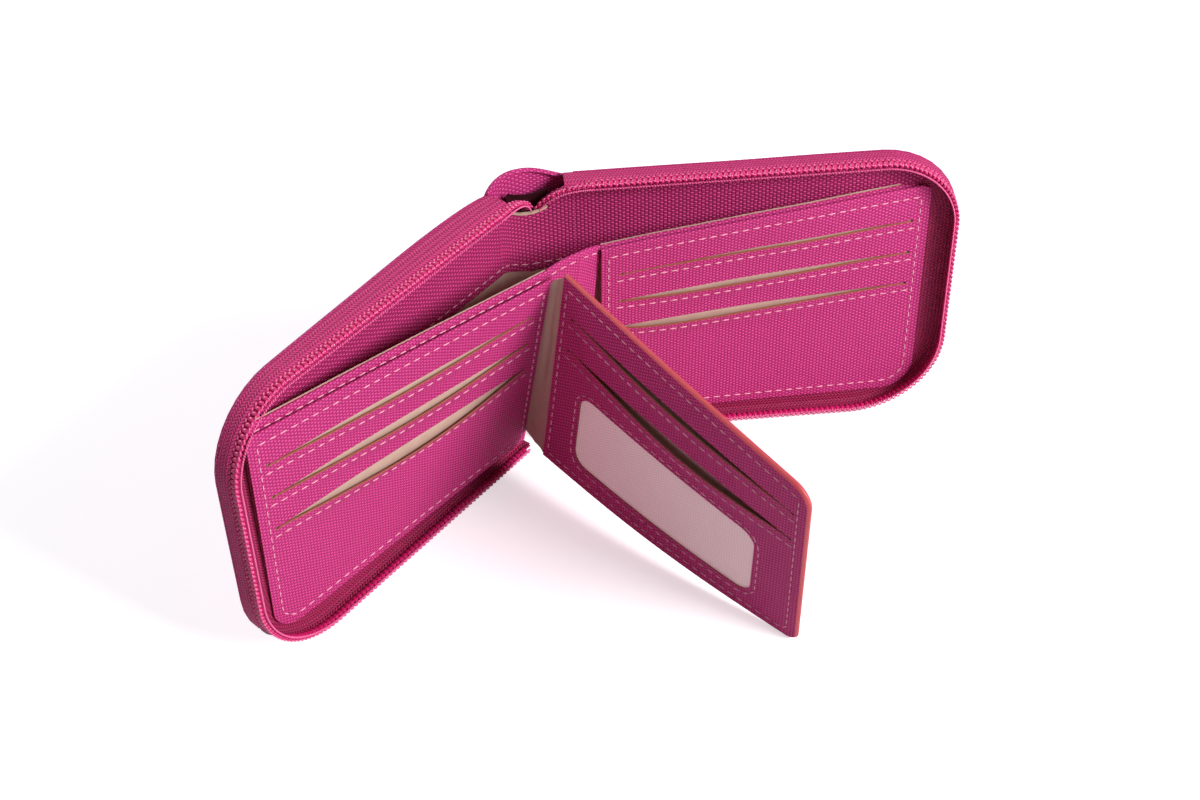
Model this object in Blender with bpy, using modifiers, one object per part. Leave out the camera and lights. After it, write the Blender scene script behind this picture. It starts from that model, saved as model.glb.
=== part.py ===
"""Zip-round fabric bifold wallet, standing open on its bottom edges.

Metres, +Z up. The origin is the middle of the spine cover's foot, the halves open towards -Y.
Each half is laid out in its own frame: u runs from the spine crease to the outer end, w from the
cover's inner face into the wallet, and z up. The left half is the right one mirrored.
"""

from math import atan2, cos, floor, pi, radians, sin, tan

import bmesh
import bpy
from mathutils import Matrix, Vector

# Clearance left between neighbouring pieces
GAP = 0.0003

# Card slots, and the panels and flap that are cut to them
SLOT_LENGTH = 0.092
SLOT_HEIGHT = 0.0012
SLOT_PITCH = 0.0123
SLOT_INSET = 0.0058
SLOT_OUTER_MARGIN = 0.0048
PANEL_WIDTH = SLOT_INSET + SLOT_LENGTH + SLOT_OUTER_MARGIN
PANEL_SPINE_MARGIN = 0.0096
PANEL_OUTER_MARGIN = 0.0086
FLAP_SLOT_INSET = 0.0046
FLAP_SLOT_OUTER_MARGIN = 0.0027
FLAP_WIDTH = FLAP_SLOT_INSET + SLOT_LENGTH + FLAP_SLOT_OUTER_MARGIN

# Covers
COVER_LENGTH = PANEL_SPINE_MARGIN + PANEL_WIDTH + PANEL_OUTER_MARGIN
COVER_HEIGHT = 0.0993
COVER_THICKNESS = 0.001
COVER_CORNER_RADIUS = 0.018
CREASE_GAP = 0.0002
FOLD_FORWARD = radians(23.7)

# Stiffening board and lining behind each cover
BOARD_THICKNESS = 0.0005
BOARD_MARGIN = 0.004
LINING_THICKNESS = 0.0004
LINING_START = 0.001
LINING_MARGIN = 0.0025
FACING_THICKNESS = 0.0005
FACING_DEPTH = 0.034

# Spine
SPINE_WIDTH = 0.021
SPINE_BULGE = 0.0036
SPINE_HUMP = 0.0025
SPINE_LINING_HALF_WIDTH = 0.0062
SPINE_LINING_FOOT = 0.002
SLOT_BINDING_RADIUS = 0.0005
SLOT_BINDING_DROP = 0.0065

# Zip tape and coil
TAPE_THICKNESS = 0.0008
TAPE_START = 0.001
TAPE_DEPTH = 0.0054
COIL_RADIUS = 0.001
COIL_WAIST_RADIUS = 0.00072
COIL_PITCH = 0.0021
COIL_OVERHANG = 0.001
COIL_TOP_START = 0.0115
COIL_BOTTOM_START = 0.022
COIL_DIP_RADIUS = 0.0075
COIL_DIP_ANGLE = radians(48)

# Slider and pull tab
SLIDER_LENGTH = 0.009
SLIDER_FRONT_WIDTH = 0.0076
SLIDER_REAR_WIDTH = 0.0046
SLIDER_SHOULDER = 0.0035
SLIDER_PLATE = 0.0008
SLIDER_CHANNEL = 0.0022
SLIDER_NECK_WIDTH = 0.0014
SLIDER_NECK_LENGTH = 0.004
SLIDER_BACK = 0.0017
BAIL_WIRE_RADIUS = 0.00045
BAIL_LENGTH = 0.0056
BAIL_HEIGHT = 0.00245
BAIL_FLOOR_CLEARANCE = 0.0003
TAB_LENGTH = 0.016
TAB_WIDTH = 0.004
TAB_THICKNESS = 0.0008
TAB_EYE_WIDTH = 0.0024
TAB_EYE_LENGTH = 0.0042
TAB_EYE_BAR = 0.0008
TAB_SINK = radians(6)

# Card panel that hangs in each half
PANEL_HEIGHT = 0.0805
PANEL_FOOT = 0.0036
PANEL_CORNER_RADIUS = 0.0015
PANEL_FOOT_RADIUS = 0.009
PANEL_OPEN = radians(5.5)
PANEL_LEAN = radians(6.6)
DIVIDER_THICKNESS = 0.0004
DIVIDER_RISE = 0.0035
BACKING_THICKNESS = 0.0004
POCKET_THICKNESS = 0.0003
POCKET_DEPTH = 0.055
POCKET_SIDE = 0.003
POCKET_RISE = 0.0018
FACE_THICKNESS = 0.0005
FIRST_SLOT_DROP = 0.012
PANEL_SLOTS = 3

# Strip of cloth that carries the bill divider across the spine, creased in the middle
STRIP_THICKNESS = 0.0005
STRIP_CREASE_GAP = 0.0012

# Middle flap with two card slots and a window
FLAP_HEIGHT = 0.0747
FLAP_RAISE = 0.0105
FLAP_SWING = radians(94)
FLAP_PIVOT_OUT = 0.002
FLAP_START = 0.0097
FLAP_OUTER_RADIUS = 0.003
FLAP_EDGE_WIDTH = 0.0008
FLAP_SLOTS = 2
FLAP_FIRST_SLOT_DROP = 0.0124
WINDOW_SIDE = 0.013
WINDOW_OUTER = 0.0215
WINDOW_FOOT = 0.010
WINDOW_TOP_DROP = 0.037
WINDOW_RADIUS = 0.005
WINDOW_HEM = 0.004
MESH_THICKNESS = 0.00025
HINGE_STRIP_THICKNESS = 0.0004
HINGE_STRIP_START = 0.0004

# Facets
CORNER_STEPS = 8
SMALL_CORNER_STEPS = 3
SPINE_STEPS = 12
SPINE_ROWS = 6

LEFT = -1
RIGHT = 1
SIDE_NAMES = {LEFT: "left", RIGHT: "right"}
STAND_UP = Matrix.Rotation(pi / 2, 4, "X")

# Where each layer starts, counted from the cover's inner face
BOARD_LEVEL = GAP
LINING_LEVEL = BOARD_LEVEL + BOARD_THICKNESS + GAP
DIVIDER_LEVEL = LINING_LEVEL + FACING_THICKNESS + GAP
BACKING_LEVEL = DIVIDER_LEVEL + DIVIDER_THICKNESS + GAP
POCKET_LEVEL = BACKING_LEVEL + BACKING_THICKNESS + GAP
FACE_LEVEL = POCKET_LEVEL + PANEL_SLOTS * (POCKET_THICKNESS + GAP)
PIVOT_LEVEL = FACE_LEVEL + FACE_THICKNESS + GAP
COIL_LEVEL = TAPE_DEPTH + COIL_OVERHANG
COIL_INSET = TAPE_THICKNESS + GAP + COIL_RADIUS
CREASE_BACK = SPINE_BULGE + COVER_THICKNESS / 2
FACING_FOOT = COVER_HEIGHT - LINING_MARGIN - FACING_DEPTH

# Principled colours: base colour, roughness, metallic
LOOKS = {
    "magenta_cloth": ((0.52, 0.02, 0.17, 1), 0.85, 0),
    "magenta_facing": ((0.47, 0.02, 0.16, 1), 0.85, 0),
    "zip_tape": ((0.50, 0.02, 0.18, 1), 0.8, 0),
    "zip_coil": ((0.62, 0.02, 0.16, 1), 0.35, 0),
    "beige_lining": ((0.62, 0.47, 0.38, 1), 0.7, 0),
    "window_mesh": ((0.80, 0.60, 0.60, 1), 0.5, 0),
    "coral_edge": ((0.75, 0.12, 0.13, 1), 0.5, 0),
    "grey_board": ((0.30, 0.28, 0.27, 1), 0.9, 0),
    "painted_metal": ((0.50, 0.02, 0.16, 1), 0.3, 1),
}


def clear_scene():
    """Remove whatever the scene starts with."""
    for obj in list(bpy.data.objects):
        bpy.data.objects.remove(obj)


def make_collection(name):
    """Return a new collection linked to the scene."""
    collection = bpy.data.collections.new(name)
    bpy.context.scene.collection.children.link(collection)
    return collection


def make_material(name):
    """Return the Principled material of one kind of cloth, plastic or metal."""
    colour, roughness, metallic = LOOKS[name]
    material = bpy.data.materials.new(name)
    material.use_nodes = True
    shader = material.node_tree.nodes["Principled BSDF"]
    shader.inputs["Base Color"].default_value = colour
    shader.inputs["Roughness"].default_value = roughness
    shader.inputs["Metallic"].default_value = metallic
    material.diffuse_color = colour
    return material


def add_empty(name, parent, matrix):
    """Add an empty that carries a moving body and stands on its joint's axis."""
    empty = bpy.data.objects.new(name, None)
    PARTS.objects.link(empty)
    empty.parent = parent
    empty.matrix_local = matrix
    return empty


def add_object(name, data, look, parent, matrix):
    """Add one sub-part with its own material, placed under the empty of its body."""
    obj = bpy.data.objects.new(name, data)
    data.materials.append(make_material(look))
    data.materials[0].name = f"{name}_{look}"
    PARTS.objects.link(obj)
    obj.parent = parent
    obj.matrix_local = matrix
    return obj


def arc(centre, radius, start, end, steps):
    """Points along an arc in a plane, both ends included."""
    angles = [start + (end - start) * step / steps for step in range(steps + 1)]
    return [(centre[0] + radius * cos(a), centre[1] + radius * sin(a)) for a in angles]


def rounded_rectangle(low, high, inner_radius, outer_radius, foot_radius=None, steps=SMALL_CORNER_STEPS):
    """Outline from corner low to corner high; the outer radii are at the high end of the first axis."""
    (left, foot), (right, top) = low, high
    outer_foot_radius = outer_radius if foot_radius is None else foot_radius
    corners = (
        (left, foot, inner_radius, 1, 1, pi),
        (right, foot, outer_foot_radius, -1, 1, 3 * pi / 2),
        (right, top, outer_radius, -1, -1, 0),
        (left, top, inner_radius, 1, -1, pi / 2),
    )
    points = []
    for x, y, radius, inward_x, inward_y, start in corners:
        centre = (x + inward_x * radius, y + inward_y * radius)
        points += arc(centre, radius, start, start + pi / 2, steps) if radius else [(x, y)]
    return points


def slot_outline(start, end, height):
    """A long cut with round ends, centred on the given height."""
    radius = SLOT_HEIGHT / 2
    right_end = arc((end - radius, height), radius, -pi / 2, pi / 2, SMALL_CORNER_STEPS)
    left_end = arc((start + radius, height), radius, pi / 2, 3 * pi / 2, SMALL_CORNER_STEPS)
    return right_end + left_end


def mirrored(points, side):
    """Mirror an outline for the left half, and keep it running the same way round."""
    return [(side * x, y) for x, y in points][::side]


def add_sheet(name, look, parent, side, outline, level, thickness, holes=()):
    """Cut a flat cloth piece to an outline; its back lies at the given level of its frame."""
    curve = bpy.data.curves.new(name, "CURVE")
    curve.dimensions = "2D"
    curve.fill_mode = "BOTH"
    curve.extrude = thickness / 2
    for points in (outline, *holes):
        spline = curve.splines.new("POLY")
        spline.points.add(len(points) - 1)
        spline.use_cyclic_u = True
        for point, (x, y) in zip(spline.points, mirrored(points, side)):
            point.co = (x, y, 0, 1)
    forward = Matrix.Translation((0, -(level + thickness / 2), 0))
    return add_object(name, curve, look, parent, forward @ STAND_UP)


def rim_path(inset, start_top, start_bottom, steps=CORNER_STEPS):
    """The U-shaped way round a half, from the spine along the top, down the outer end and back."""
    outer = COVER_LENGTH - inset
    top = COVER_HEIGHT - inset
    radius = COVER_CORNER_RADIUS - inset
    points = [(start_top, top)]
    points += arc((outer - radius, top - radius), radius, pi / 2, 0, steps)
    points += arc((outer - radius, inset + radius), radius, 0, -pi / 2, steps)
    points.append((start_bottom, inset))
    return points


def lining_outline(foot, top, margin, start):
    """Outline of a layer inside the cover, following its rounded outer corners where it reaches them."""
    end = COVER_LENGTH - margin
    radius = COVER_CORNER_RADIUS - margin
    foot_radius = radius if foot < COVER_CORNER_RADIUS else 0
    top_radius = radius if top > COVER_HEIGHT - COVER_CORNER_RADIUS else 0
    points = [(start, foot)]
    points += arc((end - foot_radius, foot + foot_radius), foot_radius, -pi / 2, 0, CORNER_STEPS)
    points += arc((end - top_radius, top - top_radius), top_radius, 0, pi / 2, CORNER_STEPS)
    points.append((start, top))
    return [point for index, point in enumerate(points) if point != points[index - 1]]


def spine_back(x):
    """How far the spine's inner face bulges behind the two creases."""
    half = SPINE_WIDTH / 2 - CREASE_GAP
    return SPINE_BULGE * (1 - (x / half) ** 2)


def add_spine_sheet(name, look, half_width, foot, top, level, thickness, hump=0):
    """A sheet bent along the spine's bulge; level counts forward from the spine's inner face."""
    mesh = bpy.data.meshes.new(name)
    sheet = bmesh.new()
    bmesh.ops.create_grid(sheet, x_segments=SPINE_STEPS, y_segments=SPINE_ROWS, size=1)
    for vertex in sheet.verts:
        x = vertex.co.x * half_width
        rise = (vertex.co.y + 1) / 2
        crown = hump * cos(pi / 2 * vertex.co.x) ** 2
        z = foot + (top + crown - foot) * rise
        vertex.co = (x, spine_back(x) - level, z)
    bmesh.ops.recalc_face_normals(sheet, faces=sheet.faces)
    sheet.to_mesh(mesh)
    sheet.free()
    obj = add_object(name, mesh, look, None, Matrix.Translation((0, -CREASE_BACK, 0)))
    shell = obj.modifiers.new("Thickness", "SOLIDIFY")
    shell.thickness = thickness
    shell.offset = 1 if mesh.polygons[0].normal.y < 0 else -1
    return obj


def add_tube(name, look, parent, points, radii, matrix, resolution=1):
    """A closed round strand along points, thick as its radii say."""
    curve = bpy.data.curves.new(name, "CURVE")
    curve.dimensions = "3D"
    curve.bevel_depth = 1
    curve.bevel_resolution = resolution
    curve.use_fill_caps = True
    spline = curve.splines.new("POLY")
    spline.points.add(len(points) - 1)
    for point, place, radius in zip(spline.points, points, radii):
        point.co = (*place, 1)
        point.radius = radius
    return add_object(name, curve, look, parent, matrix)


def evenly_spaced(path, spacing):
    """Points along a path at an even spacing, so that a coil's turns all match."""
    lengths = [0]
    for first, second in zip(path, path[1:]):
        lengths.append(lengths[-1] + (Vector(second) - Vector(first)).length)
    count = floor(lengths[-1] / spacing)
    points = []
    piece = 0
    for step in range(count + 1):
        reach = lengths[-1] * step / count
        while piece < len(path) - 2 and lengths[piece + 1] < reach:
            piece += 1
        share = (reach - lengths[piece]) / (lengths[piece + 1] - lengths[piece])
        points.append(Vector(path[piece]).lerp(Vector(path[piece + 1]), share))
    return points


def as_mesh(obj):
    """Turn a curve object into a welded mesh object that a Boolean can work on."""
    graph = bpy.context.evaluated_depsgraph_get()
    mesh = bpy.data.meshes.new_from_object(obj.evaluated_get(graph))
    shape = bmesh.new()
    shape.from_mesh(mesh)
    bmesh.ops.remove_doubles(shape, verts=shape.verts, dist=GAP / 10)
    bmesh.ops.recalc_face_normals(shape, faces=shape.faces)
    shape.to_mesh(mesh)
    shape.free()
    name, parent, matrix = obj.name, obj.parent, obj.matrix_local.copy()
    bpy.data.objects.remove(obj)
    made = bpy.data.objects.new(name, mesh)
    PARTS.objects.link(made)
    made.parent = parent
    made.matrix_local = matrix
    return made


def join_to(obj, helpers):
    """Fuse helpers with an object by Boolean unions, and keep them out of the render."""
    for helper in helpers:
        union = obj.modifiers.new("Join", "BOOLEAN")
        union.operation = "UNION"
        union.object = helper
        PARTS.objects.unlink(helper)
        CUTTERS.objects.link(helper)
        helper.hide_render = True
        helper.display_type = "WIRE"


def add_box(name, look, parent, low, high):
    """A block between two corners."""
    mesh = bpy.data.meshes.new(name)
    block = bmesh.new()
    bmesh.ops.create_cube(block, size=1)
    size = Vector(high) - Vector(low)
    middle = (Vector(high) + Vector(low)) / 2
    bmesh.ops.scale(block, vec=size, verts=block.verts)
    block.to_mesh(mesh)
    block.free()
    return add_object(name, mesh, look, parent, Matrix.Translation(middle))


def build_spine():
    """The bent cloth of the spine, its lining, its facing and the bound slot for the coil ends."""
    cover_half = SPINE_WIDTH / 2 - CREASE_GAP
    add_spine_sheet("spine_cover", "magenta_cloth", cover_half, 0, COVER_HEIGHT, 0, -COVER_THICKNESS, SPINE_HUMP)
    half = SPINE_LINING_HALF_WIDTH
    lining_top = FACING_FOOT - GAP
    add_spine_sheet("spine_lining", "beige_lining", half, SPINE_LINING_FOOT, lining_top, GAP, LINING_THICKNESS)
    facing_top = COVER_HEIGHT - SLOT_BINDING_DROP
    add_spine_sheet("spine_facing", "magenta_facing", half, FACING_FOOT, facing_top, GAP, FACING_THICKNESS)
    height = facing_top + GAP + SLOT_BINDING_RADIUS
    forward = GAP + FACING_THICKNESS / 2
    shares = [step / SPINE_STEPS * 2 - 1 for step in range(SPINE_STEPS + 1)]
    points = [(half * share, spine_back(half * share) - forward, height) for share in shares]
    radii = [SLOT_BINDING_RADIUS] * len(points)
    place = Matrix.Translation((0, -CREASE_BACK, 0))
    add_tube("zip_slot_binding", "beige_lining", None, points, radii, place)


def fold_frame(side):
    """Rest place of a half: on its crease at the spine, swung forward."""
    crease = Matrix.Translation((side * SPINE_WIDTH / 2, -CREASE_BACK, 0))
    return crease @ Matrix.Rotation(-side * FOLD_FORWARD, 4, "Z")


def build_half(side):
    """One cover with its board, lining, facing, zip tape and zip coil, on the empty of its fold."""
    name = SIDE_NAMES[side]
    fold = add_empty(f"{name}_fold", None, fold_frame(side))
    cover = lining_outline(0, COVER_HEIGHT, 0, CREASE_GAP)
    add_sheet(f"cover_{name}", "magenta_cloth", fold, side, cover, -COVER_THICKNESS, COVER_THICKNESS)
    board = lining_outline(BOARD_MARGIN, COVER_HEIGHT - BOARD_MARGIN, BOARD_MARGIN, BOARD_MARGIN)
    add_sheet(f"board_{name}", "grey_board", fold, side, board, BOARD_LEVEL, BOARD_THICKNESS)
    lining = lining_outline(LINING_MARGIN, FACING_FOOT - GAP, LINING_MARGIN, LINING_START)
    add_sheet(f"lining_{name}", "beige_lining", fold, side, lining, LINING_LEVEL, LINING_THICKNESS)
    facing = lining_outline(FACING_FOOT, COVER_HEIGHT - LINING_MARGIN, LINING_MARGIN, LINING_START)
    add_sheet(f"facing_{name}", "magenta_facing", fold, side, facing, LINING_LEVEL, FACING_THICKNESS)
    build_tape(side, fold)
    build_coil(side, fold)
    return fold


def build_tape(side, fold):
    """The zip tape that stands round the rim of a half as its wall."""
    outside = rim_path(0, TAPE_START, TAPE_START)
    inside = rim_path(TAPE_THICKNESS, TAPE_START, TAPE_START)
    ribbon = outside + inside[::-1]
    depth = TAPE_DEPTH - GAP
    add_sheet(f"zip_tape_{SIDE_NAMES[side]}", "zip_tape", fold, side, ribbon[::-1], GAP, depth)


def build_coil(side, fold):
    """The ribbed coil along the tape's free edge, which dips into the bound slot at the spine."""
    path = rim_path(COIL_INSET, COIL_TOP_START, COIL_BOTTOM_START)
    top = path[0][1]
    dip_centre = (COIL_TOP_START, top - COIL_DIP_RADIUS)
    dip = arc(dip_centre, COIL_DIP_RADIUS, pi / 2 + COIL_DIP_ANGLE, pi / 2, CORNER_STEPS)
    spine_to_rim = dip[:-1] + path
    turns = evenly_spaced(spine_to_rim, COIL_PITCH / 2)
    points = [(side * u, -COIL_LEVEL, z) for u, z in turns]
    radii = [COIL_WAIST_RADIUS if step % 2 else COIL_RADIUS for step in range(len(points))]
    add_tube(f"zip_coil_{SIDE_NAMES[side]}", "zip_coil", fold, points, radii, Matrix())


def panel_frame(side):
    """Rest place of a card panel in its half: opened at the spine and leaning in at the top."""
    corner_u = COVER_LENGTH - PANEL_OUTER_MARGIN
    corner = Vector((side * corner_u, -DIVIDER_LEVEL, PANEL_FOOT))
    closed_normal = Vector((0, -1, 0))
    rest_normal = Vector((side * tan(PANEL_OPEN), -1, -tan(PANEL_LEAN)))
    swing = closed_normal.rotation_difference(rest_normal)
    return Matrix.Translation(corner) @ swing.to_matrix().to_4x4()


def slot_heights(first, count):
    """Heights of the card slots, from the top one down."""
    return [first - index * SLOT_PITCH for index in range(count)]


def build_panel(side, fold):
    """One card panel: bill divider, backing, three card pockets and the slotted face."""
    name = SIDE_NAMES[side]
    panel = add_empty(f"{name}_panel", fold, panel_frame(side))
    low, high = (-PANEL_WIDTH, 0), (0, PANEL_HEIGHT)
    radius = PANEL_CORNER_RADIUS

    def add_layer(node, look, outline, level, thickness, holes=()):
        add_sheet(f"{node}_{name}", look, panel, side, outline, level - DIVIDER_LEVEL, thickness, holes)

    divider = rounded_rectangle(low, (0, PANEL_HEIGHT + DIVIDER_RISE), 0, radius, PANEL_FOOT_RADIUS)
    add_layer("bill_divider", "magenta_facing", divider, DIVIDER_LEVEL, DIVIDER_THICKNESS)
    backing = rounded_rectangle(low, high, radius, radius, PANEL_FOOT_RADIUS)
    add_layer("card_backing", "magenta_cloth", backing, BACKING_LEVEL, BACKING_THICKNESS)
    start = -PANEL_WIDTH + SLOT_INSET
    end = start + SLOT_LENGTH
    heights = slot_heights(PANEL_HEIGHT - FIRST_SLOT_DROP, PANEL_SLOTS)
    for index, height in enumerate(heights):
        foot = max(height - POCKET_DEPTH, POCKET_SIDE)
        pocket_low = (start - POCKET_SIDE, foot)
        pocket_high = (end + POCKET_SIDE, height + POCKET_RISE)
        pocket = rounded_rectangle(pocket_low, pocket_high, radius, radius)
        level = POCKET_LEVEL + index * (POCKET_THICKNESS + GAP)
        add_layer(f"card_pocket_{index + 1}", "beige_lining", pocket, level, POCKET_THICKNESS)
    slots = [slot_outline(start, end, height) for height in heights]
    add_layer("card_face", "magenta_cloth", backing, FACE_LEVEL, FACE_THICKNESS, slots)
    return panel


def strip_frame(side):
    """Rest place of half the divider strip: hinged on the panel's inner edge and lying along X."""
    world = fold_frame(side) @ panel_frame(side)
    across = world.to_3x3().inverted() @ Vector((1, 0, 0))
    edge = Vector((-side * (PANEL_WIDTH + GAP / 2), -STRIP_THICKNESS / 2, 0))
    return Matrix.Translation(edge) @ Matrix.Rotation(atan2(across.y, across.x), 4, "Z")


def build_strip(side, panel):
    """Half of the strip that joins the two bill dividers; the halves meet at the crease in the middle."""
    frame = strip_frame(side)
    strip = add_empty(f"{SIDE_NAMES[side]}_strip", panel, frame)
    world = fold_frame(side) @ panel_frame(side) @ frame
    across, up, hinge = world.col[0].x, world.col[2].x, world.translation.x
    crease = side * STRIP_CREASE_GAP / 2
    height = PANEL_HEIGHT + DIVIDER_RISE
    reach = [side * (crease - hinge - up * level) / across for level in (0, height)]
    outline = [(-GAP, 0), (-GAP, height), (reach[1], height), (reach[0], 0)]
    node = f"divider_strip_{SIDE_NAMES[side]}"
    level = -STRIP_THICKNESS / 2
    add_sheet(node, "magenta_facing", strip, side, outline, level, STRIP_THICKNESS)


def flap_frame():
    """Rest place of the flap in the left panel's frame: its pivot line, swung out from the panel."""
    pivot = Vector((PANEL_WIDTH + FLAP_PIVOT_OUT, -(PIVOT_LEVEL - DIVIDER_LEVEL), 0))
    return Matrix.Translation(pivot) @ Matrix.Rotation(FLAP_SWING, 4, "Z")


def build_flap(left_panel):
    """The middle flap: slotted face with a window, mesh, two pockets, back, edge trim and hinge cloth."""
    flap = add_empty("flap", left_panel, flap_frame())
    foot = FLAP_RAISE
    top = foot + FLAP_HEIGHT
    root_low = (-(PANEL_WIDTH + FLAP_PIVOT_OUT - GAP), foot)
    root = rounded_rectangle(root_low, (-(PANEL_WIDTH + GAP), PANEL_HEIGHT), 0, 0)
    root_level = FACE_LEVEL - DIVIDER_LEVEL
    add_sheet("flap_hinge_root", "beige_lining", left_panel, LEFT, root, root_level, FACE_THICKNESS)
    end = FLAP_START + FLAP_WIDTH
    edge = FLAP_EDGE_WIDTH + GAP
    mesh_level = FACE_THICKNESS + GAP
    pocket_level = mesh_level + MESH_THICKNESS + GAP
    back_level = pocket_level + FLAP_SLOTS * (POCKET_THICKNESS + GAP)
    thickness = back_level + FACE_THICKNESS

    def add_layer(node, look, outline, level, depth, holes=()):
        add_sheet(node, look, flap, LEFT, outline, level, depth, holes)

    sheet_low, sheet_high = (FLAP_START, foot + edge), (end - edge, top - edge)
    sheet = rounded_rectangle(sheet_low, sheet_high, 0, FLAP_OUTER_RADIUS - edge)
    slot_start = FLAP_START + FLAP_SLOT_INSET
    slot_end = slot_start + SLOT_LENGTH
    heights = slot_heights(top - FLAP_FIRST_SLOT_DROP, FLAP_SLOTS)
    slots = [slot_outline(slot_start, slot_end, height) for height in heights]
    window_low = (FLAP_START + WINDOW_SIDE, foot + WINDOW_FOOT)
    window_high = (end - WINDOW_OUTER, top - WINDOW_TOP_DROP)
    window = rounded_rectangle(window_low, window_high, WINDOW_RADIUS, WINDOW_RADIUS)
    add_layer("flap_face", "magenta_cloth", sheet, 0, FACE_THICKNESS, [*slots, window])
    mesh_low = tuple(value - WINDOW_HEM for value in window_low)
    mesh_high = tuple(value + WINDOW_HEM for value in window_high)
    mesh = rounded_rectangle(mesh_low, mesh_high, WINDOW_RADIUS, WINDOW_RADIUS)
    add_layer("flap_window", "window_mesh", mesh, mesh_level, MESH_THICKNESS)
    for index, height in enumerate(heights):
        low = (slot_start - FLAP_SLOT_INSET / 2, foot + POCKET_SIDE)
        high = (slot_end + FLAP_SLOT_INSET / 4, height + POCKET_RISE)
        pocket = rounded_rectangle(low, high, 0, PANEL_CORNER_RADIUS)
        level = pocket_level + (FLAP_SLOTS - 1 - index) * (POCKET_THICKNESS + GAP)
        add_layer(f"flap_pocket_{index + 1}", "beige_lining", pocket, level, POCKET_THICKNESS)
    add_layer("flap_back", "magenta_cloth", sheet, back_level, FACE_THICKNESS)
    outside = rounded_rectangle((FLAP_START, foot), (end, top), 0, FLAP_OUTER_RADIUS)
    radius = FLAP_OUTER_RADIUS - FLAP_EDGE_WIDTH
    inside_low = (FLAP_START, foot + FLAP_EDGE_WIDTH)
    inside_high = (end - FLAP_EDGE_WIDTH, top - FLAP_EDGE_WIDTH)
    inside = rounded_rectangle(inside_low, inside_high, 0, radius)
    rim = outside + inside[::-1]
    add_layer("flap_edge_trim", "coral_edge", rim, 0, thickness)
    strip = rounded_rectangle((HINGE_STRIP_START, foot), (FLAP_START - GAP, top), 0, 0)
    add_layer("flap_hinge_strip", "beige_lining", strip, 0, HINGE_STRIP_THICKNESS)
    return flap


def slider_outline():
    """Outline of a slider plate: wide shoulders at the front, narrower at the rear."""
    front, rear = SLIDER_FRONT_WIDTH / 2, SLIDER_REAR_WIDTH / 2
    return [
        (-rear, 0),
        (-rear, SLIDER_LENGTH - 2 * SLIDER_SHOULDER),
        (-front, SLIDER_LENGTH - SLIDER_SHOULDER),
        (-rear, SLIDER_LENGTH),
        (rear, SLIDER_LENGTH),
        (front, SLIDER_LENGTH - SLIDER_SHOULDER),
        (rear, SLIDER_LENGTH - 2 * SLIDER_SHOULDER),
        (rear, 0),
    ]


def add_slider_plate(name, slider, height):
    """One of the slider's two plates, lying flat, its length towards -Y."""
    curve = bpy.data.curves.new(name, "CURVE")
    curve.dimensions = "2D"
    curve.fill_mode = "BOTH"
    curve.extrude = SLIDER_PLATE / 2
    spline = curve.splines.new("POLY")
    outline = slider_outline()
    spline.points.add(len(outline) - 1)
    spline.use_cyclic_u = True
    for point, (x, y) in zip(spline.points, outline):
        point.co = (x, -y, 0, 1)
    plate = add_object(name, curve, "painted_metal", slider, Matrix.Translation((0, 0, height)))
    return as_mesh(plate)


def build_slider():
    """The zip slider parked at the foot of the spine, with its bail and the pull tab through it."""
    lower = BAIL_FLOOR_CLEARANCE + BAIL_WIRE_RADIUS + BAIL_HEIGHT
    upper = lower + SLIDER_PLATE + SLIDER_CHANNEL
    slider = add_empty("slider", None, Matrix.Translation((0, -SLIDER_BACK, 0)))
    body = add_slider_plate("slider_body", slider, lower + SLIDER_PLATE / 2)
    top = add_slider_plate("slider_top_plate", slider, upper + SLIDER_PLATE / 2)
    half = SLIDER_NECK_WIDTH / 2
    neck_low = (-half, -SLIDER_LENGTH + SLIDER_SHOULDER / 4, lower + SLIDER_PLATE / 2)
    neck_high = (half, -SLIDER_LENGTH + SLIDER_NECK_LENGTH, upper + SLIDER_PLATE / 2)
    neck = add_box("slider_neck", "painted_metal", slider, neck_low, neck_high)
    bail_middle = -SLIDER_LENGTH / 2
    bar = BAIL_FLOOR_CLEARANCE + BAIL_WIRE_RADIUS
    seat = lower + SLIDER_PLATE / 2
    rear_leg, front_leg = bail_middle + BAIL_LENGTH / 2, bail_middle - BAIL_LENGTH / 2
    bend = BAIL_WIRE_RADIUS
    wire = [
        (0, rear_leg, seat),
        (0, rear_leg, bar + bend),
        (0, rear_leg - bend, bar),
        (0, front_leg + bend, bar),
        (0, front_leg, bar + bend),
        (0, front_leg, seat),
    ]
    radii = [BAIL_WIRE_RADIUS] * len(wire)
    bail = as_mesh(add_tube("slider_bail", "painted_metal", slider, wire, radii, Matrix()))
    join_to(body, [top, neck, bail])
    build_pull_tab(slider, bail_middle, (bar + BAIL_WIRE_RADIUS + lower) / 2)


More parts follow.
